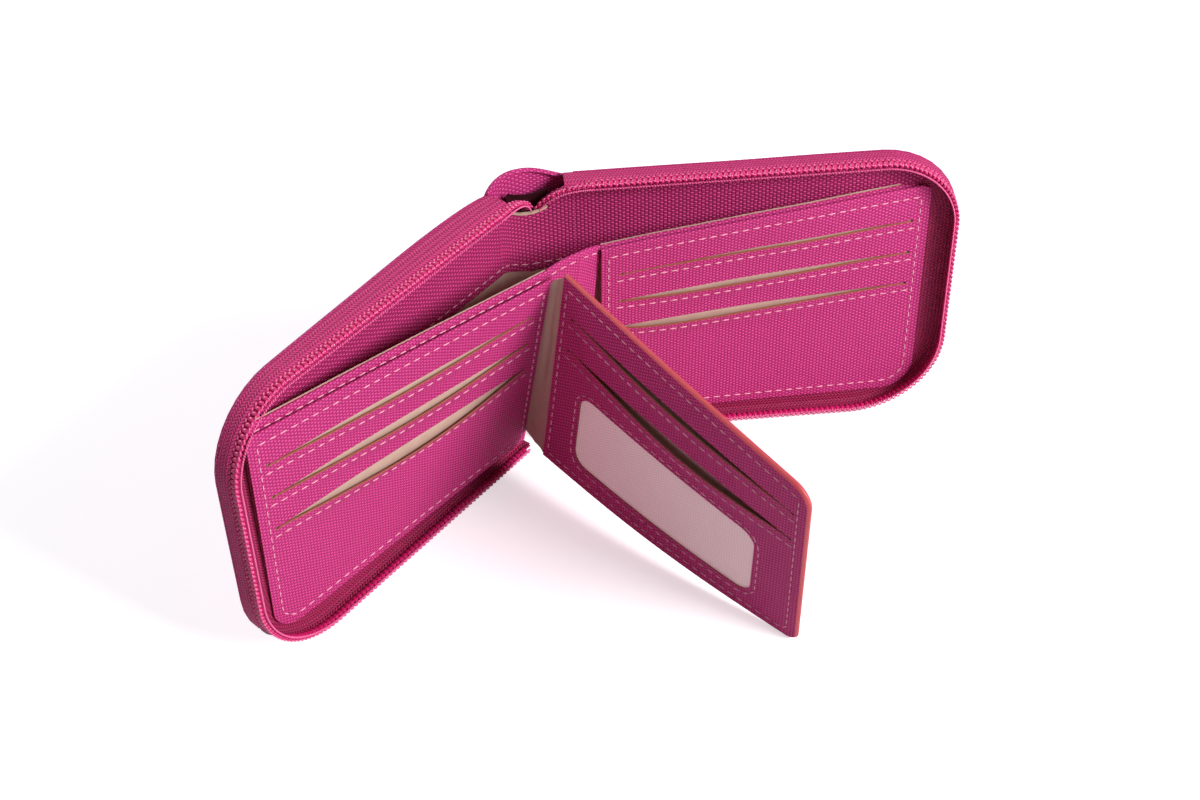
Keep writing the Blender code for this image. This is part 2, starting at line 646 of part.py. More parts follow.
def build_pull_tab(slider, bail_middle, height):
    """The pull tab, which hangs by its eye from the slider's bail and lies forward on the floor."""
    place = Matrix.Translation((0, bail_middle, height)) @ Matrix.Rotation(TAB_SINK, 4, "X")
    swing = add_empty("pull_tab_swing", slider, place)
    half = TAB_WIDTH / 2
    rear = TAB_EYE_BAR / 2
    outline = [(x, y) for y, x in rounded_rectangle((-rear, -half), (TAB_LENGTH, half), 0, half / 2)]
    eye_half = TAB_EYE_WIDTH / 2
    eye = [(-eye_half, rear), (eye_half, rear), (eye_half, rear + TAB_EYE_LENGTH), (-eye_half, rear + TAB_EYE_LENGTH)]
    curve = bpy.data.curves.new("pull_tab", "CURVE")
    curve.dimensions = "2D"
    curve.fill_mode = "BOTH"
    curve.extrude = TAB_THICKNESS / 2
    for points in (outline, eye):
        spline = curve.splines.new("POLY")
        spline.points.add(len(points) - 1)
        spline.use_cyclic_u = True
        for point, (x, y) in zip(spline.points, points):
            point.co = (x, -y, 0, 1)
    add_object("pull_tab", curve, "painted_metal", swing, Matrix())


def main():
    """Build the wallet at rest."""
    build_spine()
    panels = {}
    for side in (LEFT, RIGHT):
        fold = build_half(side)
        panels[side] = build_panel(side, fold)
        build_strip(side, panels[side])
    build_flap(panels[LEFT])
    build_slider()


clear_scene()
PARTS = make_collection("Wallet")
CUTTERS = make_collection("Cutters")
main()
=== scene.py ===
"""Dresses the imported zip-round wallet: woven cloth, zip, card slots, stitching and a plain studio.

Metres, in the frame of the solids: +Z up, the halves open towards -Y. On each half, u runs from the
crease at the spine to the outer end, w from the cover's inner face into the wallet, and z up.
Cloth is cut flat, a along its width and b along its height, and hung on a surface afterwards.
"""

import logging
from collections.abc import Callable, Sequence
from dataclasses import dataclass, field, replace
from enum import Enum
from math import cos, exp, hypot, log, pi, radians, sin, tan

import bmesh
import bpy
from mathutils import Matrix, Vector, noise


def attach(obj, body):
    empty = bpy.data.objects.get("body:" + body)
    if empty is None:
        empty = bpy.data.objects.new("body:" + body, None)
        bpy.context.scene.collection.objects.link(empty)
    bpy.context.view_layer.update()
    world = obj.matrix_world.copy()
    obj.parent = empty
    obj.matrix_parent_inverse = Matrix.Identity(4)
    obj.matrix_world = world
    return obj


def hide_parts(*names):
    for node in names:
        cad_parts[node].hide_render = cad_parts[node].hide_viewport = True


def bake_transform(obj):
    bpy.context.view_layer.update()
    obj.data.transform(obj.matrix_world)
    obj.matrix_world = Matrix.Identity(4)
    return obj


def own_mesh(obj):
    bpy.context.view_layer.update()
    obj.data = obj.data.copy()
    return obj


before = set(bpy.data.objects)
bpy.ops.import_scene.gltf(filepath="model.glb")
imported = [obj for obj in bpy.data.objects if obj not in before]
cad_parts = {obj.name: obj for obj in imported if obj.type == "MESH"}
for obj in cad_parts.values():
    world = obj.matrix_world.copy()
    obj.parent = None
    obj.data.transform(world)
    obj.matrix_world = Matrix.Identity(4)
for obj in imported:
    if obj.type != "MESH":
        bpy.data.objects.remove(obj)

LOG = logging.getLogger("wallet")
FlatPoint = tuple[float, float]

# Two flat points nearer than this are one
SAME = 1e-6
# An outline's edge this near to a side of the cut lies on that side
BESIDE = 1e-5


class Side(Enum):
    """The two halves of the wallet."""

    LEFT = -1
    RIGHT = 1

    @property
    def label(self) -> str:
        """Word for this side in piece and body names."""
        return self.name.lower()


@dataclass(frozen=True)
class Shell:
    """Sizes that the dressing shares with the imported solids."""

    spine_width: float = 0.021
    crease_back: float = 0.0041
    fold: float = radians(23.7)
    length: float = 0.1208
    height: float = 0.0993
    corner_top: float = 0.025
    corner_foot: float = 0.030
    facing_foot_left: float = 0.0710
    facing_foot_right: float = 0.0655
    bulge_out: float = 0.0042
    bulge_foot: float = 0.035
    bulge_rise: float = 0.060
    bulge_lean: float = 0.42


SHELL = Shell()


def within(value: float) -> float:
    """Return a value held between 0 and 1."""
    return min(max(value, 0), 1)


def eased(share: float) -> float:
    """Return a share from 0 to 1 with a soft start and end."""
    return share * share * (3 - 2 * share)


def between(first: float, last: float, share: float) -> float:
    """Return the value at a share of the way from the first to the last."""
    return first + (last - first) * share


def cubic(controls: Sequence[Vector], share: float) -> Vector:
    """Return the point of a cubic bend at a share of its way.

    Args:
        controls: the bend's four control points.
        share: how far along it, from 0 to 1.

    Returns:
        The point.
    """
    first, second, third, last = controls
    rest = 1 - share
    near = first * rest**3 + second * (3 * rest * rest * share)
    return near + third * (3 * rest * share * share) + last * share**3


def run_length(places: Sequence[Vector]) -> float:
    """Return the length of a line through some places."""
    return sum((b - a).length for a, b in zip(places, places[1:]))


class HalfPlace:
    """Where points of one half stand at rest."""

    def __init__(self, side: Side) -> None:
        """Keep the directions of this side's half.

        Args:
            side: which half.
        """
        turn, sign = SHELL.fold, side.value
        self.side = side
        self.crease = Vector((sign * SHELL.spine_width / 2, -SHELL.crease_back, 0))
        self.outward = Vector((sign * cos(turn), -sin(turn), 0))
        self.inward = Vector((-sign * sin(turn), -cos(turn), 0))

    def point(self, u: float, w: float, z: float) -> Vector:
        """Return the place of a point given in the half's own measures.

        Args:
            u: distance from the crease to the outer end.
            w: distance in from the cover.
            z: height.

        Returns:
            The point in the wallet's frame.
        """
        place = self.crease + self.outward * u + self.inward * w
        place.z += z
        return place

    def bulge(self, u: float, z: float) -> float:
        """Return how far the padded cover swells out backwards near the spine's top.

        Args:
            u: distance from the crease.
            z: height.

        Returns:
            The swell, in metres.
        """
        if self.side is Side.RIGHT or not 0 < u < SHELL.length:
            return 0
        rise = within((z - SHELL.bulge_foot) / SHELL.bulge_rise)
        return SHELL.bulge_out * sin(pi * (u / SHELL.length) ** SHELL.bulge_lean) * eased(rise)


class Surface:
    """A surface that flat cloth is hung on; facing is 1 or -1 and picks the side the cloth shows."""

    facing: int = 1

    def at(self, a: float, b: float) -> Vector:
        """Return the place of the flat point (a, b).

        Args:
            a: distance along the cloth's width.
            b: distance along its height.

        Returns:
            The point in the wallet's frame.
        """
        raise NotImplementedError

    def lifted(self, a: float, b: float, rise: float) -> Vector:
        """Return the place of a flat point that stands proud of the surface.

        Args:
            a: distance along the cloth's width.
            b: distance along its height.
            rise: how far the point stands proud, on the shown side.

        Returns:
            The point in the wallet's frame.
        """
        place = self.at(a, b)
        if rise == 0:
            return place
        step = 0.0004
        along = self.at(a + step, b) - self.at(a - step, b)
        up = self.at(a, b + step) - self.at(a, b - step)
        return place + along.cross(up).normalized() * (self.facing * rise)


@dataclass
class CoverPlane(Surface):
    """The plane of a cover, at a level counted inward from the cover's inner face."""

    side: Side
    level: float
    outside: bool = False
    ripple: float = 0.00025

    def __post_init__(self) -> None:
        """Work out the half's place."""
        self.place = HalfPlace(self.side)
        self.facing = -self.side.value if self.outside else self.side.value

    def at(self, a: float, b: float) -> Vector:
        """Return the place of a point of the cover, with the cloth's slight waviness.

        Args:
            a: distance along the cloth's width.
            b: distance along its height.

        Returns:
            The point in the wallet's frame.
        """
        wave = noise.noise(Vector((a * 28, b * 28, self.side.value * 3.1)))
        swell = self.place.bulge(a, b) if self.outside else 0
        return self.place.point(a, self.level + self.ripple * wave - swell, b)


@dataclass
class RimWall(Surface):
    """The wall round a half: a runs round the rim from the spine's top, b is the depth w."""

    side: Side
    inset: float = 0.0
    step_in: float = 0.0
    step_at: float = 0.0047
    step_run: float = 0.0009
    start_top: float = 0.0025
    start_foot: float = 0.0002

    def __post_init__(self) -> None:
        """Work out the half's place and the stretches of the rim."""
        self.place = HalfPlace(self.side)
        self.facing = -self.side.value
        top, foot = SHELL.corner_top, SHELL.corner_foot
        self.top_run = SHELL.length - top - self.start_top
        self.top_bend = top * pi / 2
        self.end_run = SHELL.height - top - foot
        self.foot_bend = foot * pi / 2
        self.foot_run = SHELL.length - foot - self.start_foot
        self.total = self.top_run + self.end_run + self.foot_run + self.top_bend + self.foot_bend

    def rim(self, reach: float) -> tuple[float, float, float, float]:
        """Return u and z on the rim, and the outward direction there, at a distance round it.

        Args:
            reach: distance round the rim from the spine's top.

        Returns:
            The place u and z, and the direction's two parts.
        """
        length, height, top, foot = SHELL.length, SHELL.height, SHELL.corner_top, SHELL.corner_foot
        if reach < self.top_run:
            return self.start_top + reach, height, 0, 1
        reach -= self.top_run
        if reach < self.top_bend:
            turn = pi / 2 - reach / top
            return length - top + top * cos(turn), height - top + top * sin(turn), cos(turn), sin(turn)
        reach -= self.top_bend
        if reach < self.end_run:
            return length, height - top - reach, 1, 0
        reach -= self.end_run
        if reach < self.foot_bend:
            turn = -reach / foot
            return length - foot + foot * cos(turn), foot + foot * sin(turn), cos(turn), sin(turn)
        reach -= self.foot_bend
        return length - foot - reach, 0, 0, -1

    def at(self, a: float, b: float) -> Vector:
        """Return the place of a point of the wall.

        Args:
            a: distance round the rim.
            b: depth into the wallet.

        Returns:
            The point in the wallet's frame.
        """
        u, z, out_u, out_z = self.rim(a)
        inset = self.inset + self.step_in * eased(within((b - self.step_at) / self.step_run))
        swell = self.place.bulge(u, z) * max(0, 1 - b / self.step_at)
        return self.place.point(u - out_u * inset, b - swell, z - out_z * inset)


@dataclass
class RimReturn(Surface):
    """The tape's inner part, which runs back from the coil and turns in along the cover."""

    side: Side
    inset: float = 0.0009
    front: float = 0.0052
    level: float = 0.0019
    reach: float = 0.0125

    def __post_init__(self) -> None:
        """Take the rim from the wall."""
        self.wall = RimWall(self.side)
        self.place = self.wall.place
        self.facing = -self.side.value

    def at(self, a: float, b: float) -> Vector:
        """Return the place of a point of the turned tape.

        Args:
            a: distance round the rim.
            b: distance along the turned tape.

        Returns:
            The point in the wallet's frame.
        """
        u, z, out_u, out_z = self.wall.rim(a)
        run = self.front - self.level
        inset = self.inset + max(b - run, 0)
        return self.place.point(u - out_u * inset, self.level + max(run - b, 0), z - out_z * inset)


@dataclass
class TuckPath(Surface):
    """The way of a zip end from the rim into the slot at the spine; b runs across it."""

    side: Side
    steps: int = 24

    def __post_init__(self) -> None:
        """Set the bend and measure it."""
        place, left = HalfPlace(self.side), self.side is Side.LEFT
        rim = SHELL.height - 0.0011
        mouth = Vector((-0.0015, -0.0045, 0.0905)) if left else Vector((0.0010, -0.0045, 0.0895))
        bend = Vector((-0.0050, -0.0075, 0.0985)) if left else Vector((0.0045, -0.0070, 0.0965))
        self.controls = (place.point(0.0085, 0.0062, rim), place.point(0.0040, 0.0062, rim), bend, mouth)
        self.across = (place.inward, Vector((0.25, -0.85, 0.45)) if left else Vector((-0.2, -0.8, 0.55)))
        self.length = run_length([cubic(self.controls, step / self.steps) for step in range(self.steps + 1)])
        self.facing = self.side.value

    def at(self, a: float, b: float) -> Vector:
        """Return the place of a point of the zip end.

        Args:
            a: distance along the zip end.
            b: distance across it.

        Returns:
            The point in the wallet's frame.
        """
        share = a / self.length
        across = self.across[0].lerp(self.across[1], within(share)).normalized()
        return cubic(self.controls, share) + across * b


@dataclass(frozen=True)
class PanelHang:
    """How one card panel hangs: its foot's inner corner, its leans, hollow, skew and lifted foot."""

    foot_inner_w: float
    foot_inner_z: float
    lean_outer: float
    lean_inner: float
    hollow: float
    skew: float = 0.0
    lift_inner: float = 0.0
    lift_outer: float = 0.0


PANEL_HANGS = {
    Side.LEFT: PanelHang(0.00755, 0.0059, radians(1.5), radians(13.2), 0.0003, 0.0045, 0.0032, 0.0022),
    Side.RIGHT: PanelHang(0.0034, 0.0042, radians(0.2), radians(11.5), 0.0013),
}


@dataclass
class PanelDrape(Surface):
    """The twisted surface of a card panel: a runs from its spine edge outwards, b up from its foot."""

    side: Side
    depth: float = 0.0
    spread: float = 0.0
    width: float = 0.1026
    height: float = 0.0805
    outer_margin: float = 0.0088
    foot_outer_w: float = 0.0024
    foot_outer_z: float = 0.0058
    lift_reach: float = 0.040
    solid_open: float = radians(5.5)
    solid_lean: float = radians(6.6)
    solid_corner: tuple[float, float, float] = (0.0086, 0.0045, 0.0036)

    def __post_init__(self) -> None:
        """Take this side's place and hang."""
        self.place = HalfPlace(self.side)
        self.facing = self.side.value
        self.hang = PANEL_HANGS[self.side]

    def at(self, a: float, b: float) -> Vector:
        """Return the place of a point of the panel.

        Args:
            a: distance along the cloth's width.
            b: distance along its height.

        Returns:
            The point in the wallet's frame.
        """
        hang, share = self.hang, 1 - a / self.width
        b += between(hang.lift_outer, hang.lift_inner, share) * max(0, 1 - b / self.lift_reach)
        lean = between(hang.lean_outer, hang.lean_inner, share)
        foot_w = between(self.foot_outer_w, hang.foot_inner_w, share)
        foot_z = between(self.foot_outer_z, hang.foot_inner_z, share)
        height = within(b / self.height)
        dent = hang.hollow * sin(pi * within(share)) * sin(pi * height**1.6)
        ripple = 0.0005 * height * noise.noise(Vector((a * 40, b * 9, self.side.value * 7.7)))
        w = foot_w + b * sin(lean) - self.depth - self.spread * share * height - dent + ripple
        reach = share * (self.width + hang.skew * (1 - height))
        return self.place.point(SHELL.length - self.outer_margin - reach, w, foot_z + b * cos(lean))

    def rest_normal(self) -> Vector:
        """Return the direction in which the panel flattens as the wallet closes."""
        tilted = self.place.inward + self.place.outward * tan(self.solid_open)
        return (tilted - Vector((0, 0, tan(self.solid_lean)))).normalized()

    def rest_anchor(self) -> Vector:
        """Return a point of the plane that the panel flattens to."""
        margin, level, foot = self.solid_corner
        return self.place.point(SHELL.length - margin, level - self.depth, foot)


@dataclass
class FlapDrape(Surface):
    """The surface of the middle flap: a runs out from its hinge line, b up from its foot."""

    rise: float = 0.0
    swing: float = radians(92.9)
    raise_outer: float = radians(5.9)
    lean_hinge: float = radians(-1.1)
    lean_outer: float = radians(10.2)
    foot_up: float = 0.0093
    pivot_in: float = 0.00055
    start: float = 0.0108
    width: float = 0.1010
    height: float = 0.0747
    belly_foot: float = 0.0024
    belly_top: float = 0.0007

    def __post_init__(self) -> None:
        """Set the flap's directions from the left panel's spine edge."""
        panel = PanelDrape(Side.LEFT)
        panel.hang = replace(panel.hang, skew=0.0, lift_inner=0.0, lift_outer=0.0)
        low, high = panel.at(0, 0), panel.at(0, panel.height)
        edge = (high - low).normalized()
        middle = panel.at(panel.width / 2, panel.height / 2) - panel.at(0, panel.height / 2)
        over = (middle - edge * middle.dot(edge)).normalized()
        front = over.cross(edge)
        front = front if front.dot(panel.place.inward) > 0 else -front
        away = over * cos(self.swing) + front * sin(self.swing)
        self.back = away.cross(edge)
        self.origin = low + over * self.pivot_in + front * 0.0003 + edge * self.foot_up
        self.away = away * cos(self.raise_outer) + edge * sin(self.raise_outer)
        self.edge = edge * cos(self.raise_outer) - away * sin(self.raise_outer)

    def at(self, a: float, b: float) -> Vector:
        """Return the place of a point of the flap.

        Args:
            a: distance along the cloth's width.
            b: distance along its height.

        Returns:
            The point in the wallet's frame.
        """
        share = (a - self.start) / self.width
        lean = between(self.lean_hinge, self.lean_outer, share)
        out = self.rise + between(self.belly_foot, self.belly_top, b / self.height) * sin(pi * within(share))
        up = self.edge * cos(lean) + self.back * sin(lean)
        return self.origin + self.away * a + up * b + self.back * out


@dataclass
class SpineWrap(Surface):
    """Cloth bent round the spine from one half to the other; a is 0 in the middle."""

    level: float
    middle: float
    outside: bool = False
    start: float = 0.003
    hump: float = 0.0
    hump_foot: float = 0.060
    shoulder: float = 0.0085
    ease: float = 0.0

    def __post_init__(self) -> None:
        """Set the bend's control points and its length."""
        left, right = HalfPlace(Side.LEFT), HalfPlace(Side.RIGHT)
        first, last = left.point(self.start, self.level, 0), right.point(self.start, self.level, 0)
        depth = (self.middle - first.y / 4) / 0.75
        third = last - right.outward * self.ease if self.ease else Vector((self.shoulder, depth, 0))
        self.controls = (first, Vector((-self.shoulder, depth, 0)), third, last)
        self.left = left
        self.span = run_length([cubic(self.controls, step / 20) for step in range(21)])
        self.facing = -1 if self.outside else 1

    def at(self, a: float, b: float) -> Vector:
        """Return the place of a point of the wrap, with the hump at its top.

        Args:
            a: distance along the cloth's width.
            b: distance along its height.

        Returns:
            The point in the wallet's frame.
        """
        share = a / self.span + 0.5
        place = cubic(self.controls, share)
        near = within((b - self.hump_foot) / (SHELL.height - self.hump_foot))
        if self.outside:
            place -= self.left.inward * (self.left.bulge(self.start, b) * max(0, 1 - share / 0.45))
        place.z = b + self.hump * cos(pi * (share - 0.36) / 0.6) * near**3
        return place


@dataclass
class SlotLip(Surface):
    """The bound edge of the zip slot across the spine, or the pocket sheet that dives behind it, coloured near
    black as painted shade.
    """

    wrap: SpineWrap
    front: float
    dive: bool = False
    dive_depth: float = 0.008
    dive_bow: float = 0.0012
    height: float = 0.0893
    tilt: float = -0.12
    sag: float = 0.0020
    half: float = 0.0065

    def level(self, a: float) -> float:
        """Return the height of the slot's lower edge across the spine."""
        share = min(abs(a) / self.half, 1)
        return self.height + self.tilt * a - self.sag * (1 - share * share)

    def at(self, a: float, b: float) -> Vector:
        """Return the place of a point of the lip or the pocket.

        Args:
            a: distance along the cloth's width.
            b: distance along its height.

        Returns:
            The point in the wallet's frame.
        """
        base = self.wrap.at(a, 0)
        share = min(abs(a) / self.half, 1)
        lift = self.level(a)
        if not self.dive:
            return Vector((base.x, base.y - self.front * (1 - share * share), lift + b))
        bow = self.dive_bow * sin(pi * b / self.dive_depth)
        return Vector((base.x, base.y - self.front + bow, lift + b * 0.9))


@dataclass
class Ruled(Surface):
    """Cloth stretched between two upright edges: a runs from the first to the second."""

    first: Callable[[float], Vector]
    second: Callable[[float], Vector]
    width: float
    belly: float = 0.0

    def at(self, a: float, b: float) -> Vector:
        """Return the place of a point between the two edges.

        Args:
            a: distance along the cloth's width.
            b: distance along its height.

        Returns:
            The point in the wallet's frame.
        """
        share = a / self.width
        place = self.first(b).lerp(self.second(b), share)
        place.y += self.belly * sin(pi * within(share))
        return place


@dataclass(frozen=True)
class Slit:
    """A card slot cut in cloth, whose lower lip sags and swells."""

    start: float
    end: float
    height: float
    gape: float
    swell: float
    peak: float = 0.5
    reach: float = 0.009
    upper_reach: float = 0.006
    eye_reach: float = 0.0012
    hole: float = 0.0006

    def push(self, x: float, y: float, lower: bool) -> tuple[float, float]:
        """Return how far the gaping slot moves a flat point.

        Args:
            x: the point's place across the cloth.
            y: its height on the cloth.
            lower: whether a point at the slot's own height belongs to the lower lip.

        Returns:
            The move up the cloth and the move out of it.
        """
        if not self.start < x < self.end:
            return 0, 0
        share = (x - self.start) / (self.end - self.start)
        bow = sin(pi * share ** (log(0.5) / log(self.peak))) ** 1.15
        near = min(x - self.start, self.end - x) - self.hole
        eye = self.hole * exp(-((near / self.hole) ** 2)) if self.gape else 0
        if y > self.height or (y == self.height and not lower):
            fall = max(0, 1 - (y - self.height) / self.upper_reach)
            sharp = max(0, 1 - (y - self.height) / self.eye_reach)
            return 0.06 * self.gape * bow * fall + 0.6 * eye * sharp, 0.15 * self.swell * bow * fall
        fall = eased(max(0, 1 - (self.height - y) / self.reach))
        sharp = max(0, 1 - (self.height - y) / self.eye_reach)
        return -self.gape * bow * fall - eye * sharp, self.swell * bow * fall


class FlatCut:
    """Cloth on the cutting table: a grid whose corners, slots and windows are cut before it is hung."""

    def __init__(self, low: FlatPoint, high: FlatPoint, cell: float) -> None:
        """Lay out the rectangle.

        Args:
            low: the lower left corner.
            high: the upper right corner.
            cell: the size of one cell of the grid.
        """
        self.low, self.high = low, high
        self.lip = 0.0006
        self.slits: list[Slit] = []
        self.mesh = bmesh.new()
        width, height = high[0] - low[0], high[1] - low[1]
        columns, rows = max(1, round(width / cell)), max(1, round(height / cell))
        bmesh.ops.create_grid(self.mesh, x_segments=columns, y_segments=rows, size=0.5)
        bmesh.ops.scale(self.mesh, vec=(width, height, 1), verts=self.mesh.verts)
        middle = ((low[0] + high[0]) / 2, (low[1] + high[1]) / 2, 0)
        bmesh.ops.translate(self.mesh, vec=middle, verts=self.mesh.verts)

    def bisect(self, point: FlatPoint, normal: FlatPoint, clear: bool = False) -> None:
        """Cut along a line, and drop what lies beyond it if asked.

        Args:
            point: a point of the line.
            normal: the direction across it.
            clear: whether what lies on the normal's side is dropped.
        """
        geometry = [*self.mesh.verts, *self.mesh.edges, *self.mesh.faces]
        bmesh.ops.bisect_plane(
            self.mesh,
            geom=geometry,
            dist=1e-7,
            plane_co=(*point, 0),
            plane_no=(*normal, 0),
            clear_outer=clear,
        )

    def round_corner(self, right: bool, upper: bool, radius: float, steps: int = 7) -> None:
        """Round one corner of the rectangle with short straight cuts.

        Args:
            right: whether it is a right corner.
            upper: whether it is an upper corner.
            radius: its radius.
            steps: how many cuts make it round.
        """
        across, along = (1 if right else -1), (1 if upper else -1)
        x = (self.high[0] if right else self.low[0]) - across * radius
        y = (self.high[1] if upper else self.low[1]) - along * radius
        half = pi / 4 / steps
        for step in range(steps):
            turn = half * (2 * step + 1)
            normal = (across * cos(turn), along * sin(turn))
            reach = radius * (1 + cos(half)) / 2
            self.bisect((x + normal[0] * reach, y + normal[1] * reach), normal, clear=True)

    def cut_window(self, low: FlatPoint, high: FlatPoint, radius: float, steps: int = 5) -> None:
        """Cut a window with round corners out of the cloth.

        Args:
            low: the window's lower left corner.
            high: its upper right corner.
            radius: the radius of its corners.
            steps: how many cuts make one round.
        """
        for point, normal in ((low, (1, 0)), (low, (0, 1)), (high, (1, 0)), (high, (0, 1))):
            self.bisect(point, normal)
        across, along = (low[0] + radius, high[0] - radius), (low[1] + radius, high[1] - radius)
        centres = [(x, y) for x in across for y in along]
        for x, y in centres:
            self.bisect((x, y), (1, 0))
            self.bisect((x, y), (0, 1))
        half = pi / 4 / steps
        for x, y in centres:
            across = -1 if x < (low[0] + high[0]) / 2 else 1
            along = -1 if y < (low[1] + high[1]) / 2 else 1
            for step in range(steps):
                turn = half * (2 * step + 1)
                normal = (across * cos(turn), along * sin(turn))
                faces = [f for f in self.mesh.faces if self._in_corner(f, x, y, across, along, radius)]
                edges = {e for f in faces for e in f.edges}
                verts = {v for f in faces for v in f.verts}
                place = (x + normal[0] * radius * cos(half), y + normal[1] * radius * cos(half), 0)
                bmesh.ops.bisect_plane(
                    self.mesh, geom=[*verts, *edges, *faces], dist=1e-7, plane_co=place, plane_no=(*normal, 0)
                )
        inside = [f for f in self.mesh.faces if self._in_window(f.calc_center_median(), low, high, radius)]
        bmesh.ops.delete(self.mesh, geom=inside, context="FACES")

    @staticmethod
    def _in_corner(face: bmesh.types.BMFace, x: float, y: float, across: int, along: int,
                   radius: float) -> bool:
        """Tell whether a face lies in the square of one rounded corner."""
        middle = face.calc_center_median()
        return 0 < (middle.x - x) * across < radius and 0 < (middle.y - y) * along < radius

    @staticmethod
    def _in_window(point: Vector, low: FlatPoint, high: FlatPoint, radius: float) -> bool:
        """Tell whether a point lies inside a rounded window.

        Args:
            point: the point.
            low: the window's lower left corner.
            high: its upper right corner.
            radius: the radius of its corners.

        Returns:
            Whether it lies inside.
        """
        if not (low[0] < point.x < high[0] and low[1] < point.y < high[1]):
            return False
        x = max(low[0] + radius - point.x, point.x - high[0] + radius, 0)
        y = max(low[1] + radius - point.y, point.y - high[1] + radius, 0)
        return hypot(x, y) < radius

    def cut_slit(self, slit: Slit) -> None:
        """Cut one card slot, and part its two lips.

        Args:
            slit: the slot.
        """
        self.slits.append(slit)
        self.bisect((0, slit.height), (0, 1))
        self.bisect((0, slit.height - self.lip), (0, 1))
        for reach in (0, slit.hole, 2 * slit.hole):
            self.bisect((slit.start + reach, 0), (1, 0))
            self.bisect((slit.end - reach, 0), (1, 0))
        for face in self.mesh.faces:
            middle = face.calc_center_median()
            if slit.start < middle.x < slit.end and 0 < slit.height - middle.y < self.lip:
                face.material_index = 1
        edges = [
            edge
            for edge in self.mesh.edges
            if all(abs(v.co.y - slit.height) < SAME for v in edge.verts)
            and all(slit.start - SAME < v.co.x < slit.end + SAME for v in edge.verts)
        ]
        bmesh.ops.split_edges(self.mesh, edges=edges)

    def pushed(self, x: float, y: float, lower: bool = False) -> Vector:
        """Return a flat point where the gaping slots leave it.

        Args:
            x: the point's place across the cloth.
            y: its height on the cloth.
            lower: whether a point at a slot's height belongs to the lower lip.

        Returns:
            The point, with its rise off the cloth as the third part.
        """
        up = out = 0.0
        for slit in self.slits:
            level = slit.height if abs(y - slit.height) < SAME else y
            move = slit.push(x, level, lower)
            up, out = up + move[0], out + move[1]
        return Vector((x, y + up, out))

    def raise_foot(self, first: float, last: float) -> None:
        """Slant the lower edge: it rises by first at the low end of x and by last at the high end.

        Args:
            first: the rise at the low end of x.
            last: the rise at the high end.
        """
        (left, foot), (right, top) = self.low, self.high
        for vert in self.mesh.verts:
            rise = between(first, last, (vert.co.x - left) / (right - left))
            vert.co.y += rise * (top - vert.co.y) / (top - foot)

    def shape_top(self, level: Callable[[float], float], reach: float) -> None:
        """Move the upper edge to a level that varies along x, easing the move out below it.

        Args:
            level: gives the edge's height along x.
            reach: how far below it the move ends.
        """
        top = self.high[1]
        for vert in self.mesh.verts:
            near = max(0, 1 - (top - vert.co.y) / reach)
            vert.co.y += (level(vert.co.x) - top) * near

    def settle(self) -> None:
        """Note each point's place on the flat cloth for the weave, then let the slots gape."""
        flat = self.mesh.verts.layers.float_vector.new("flat")
        for vert in self.mesh.verts:
            vert[flat] = vert.co
        moves = {}
        for vert in self.mesh.verts:
            heights = [s.height for s in self.slits if abs(vert.co.y - s.height) < SAME]
            centre = sum(f.calc_center_median().y for f in vert.link_faces) / max(1, len(vert.link_faces))
            lower = bool(heights) and centre < heights[0]
            moves[vert] = self.pushed(vert.co.x, vert.co.y, lower)
        for vert, place in moves.items():
            vert.co = place

    def rim_edges(self, keep: Callable[[Vector], bool]) -> list[bmesh.types.BMEdge]:
        """Return the outline's edges whose middles pass a test."""
        return [e for e in self.mesh.edges if e.is_boundary and keep((e.verts[0].co + e.verts[1].co) / 2)]

    def roll_top(self, radius: float, steps: int = 4) -> None:
        """Roll the upper edge right over, backwards."""
        edges = self.rim_edges(lambda p: p.y > self.high[1] - BESIDE)
        self.roll(edges, lambda p: Vector((0, 1, 0)), radius, pi, steps)

    def roll(self, edges: list[bmesh.types.BMEdge], outward: Callable[[Vector], Vector], radius: float,
             turn: float, steps: int) -> None:
        """Roll an edge of the cloth backwards.

        Args:
            edges: the outline's edges to roll.
            outward: gives the direction off the cloth at a point of the outline.
            radius: radius of the roll.
            turn: the angle rolled through.
            steps: how many strips the roll has.
        """
        flat = self.mesh.verts.layers.float_vector["flat"]
        bases = {v: (v.co.copy(), outward(v.co), Vector(v[flat])) for e in edges for v in e.verts}
        for step in range(1, steps + 1):
            made = bmesh.ops.extrude_edge_only(self.mesh, edges=edges)["geom"]
            edges = [g for g in made if isinstance(g, bmesh.types.BMEdge)]
            verts = [g for g in made if isinstance(g, bmesh.types.BMVert)]
            angle = turn * step / steps
            moved = {}
            for vert in verts:
                home = min(bases, key=lambda v: (v.co - vert.co).length_squared)
                moved[vert] = bases[home]
                start, away, cut = bases[home]
                vert.co = start + away * (radius * sin(angle)) - Vector((0, 0, radius * (1 - cos(angle))))
                vert[flat] = cut + away * (radius * angle)
            bases = moved


class Bead:
    """A rounded unit bead that is copied many times into one mesh."""

    def __init__(self, around: int, rings: int) -> None:
        """Make the unit bead, lying along X.

        Args:
            around: its segments around.
            rings: its rings from pole to pole.
        """
        made = bmesh.new()
        bmesh.ops.create_uvsphere(made, u_segments=around, v_segments=rings, radius=1, matrix=LIE)
        self.data = bpy.data.meshes.new("Unit bead")
        made.to_mesh(self.data)
        made.free()

    def add(self, mesh: bmesh.types.BMesh, matrix: Matrix) -> None:
        """Add one copy of the bead, moved by a matrix.

        Args:
            mesh: the mesh that gathers the beads.
            matrix: sizes, turns and places the copy.
        """
        copy = self.data.copy()
        copy.transform(matrix)
        mesh.from_mesh(copy)
        bpy.data.meshes.remove(copy)


LIE = Matrix.Rotation(pi / 2, 4, "Y")
STITCH = Bead(6, 5)
TOOTH = Bead(8, 6)
KNOT = Bead(6, 4)


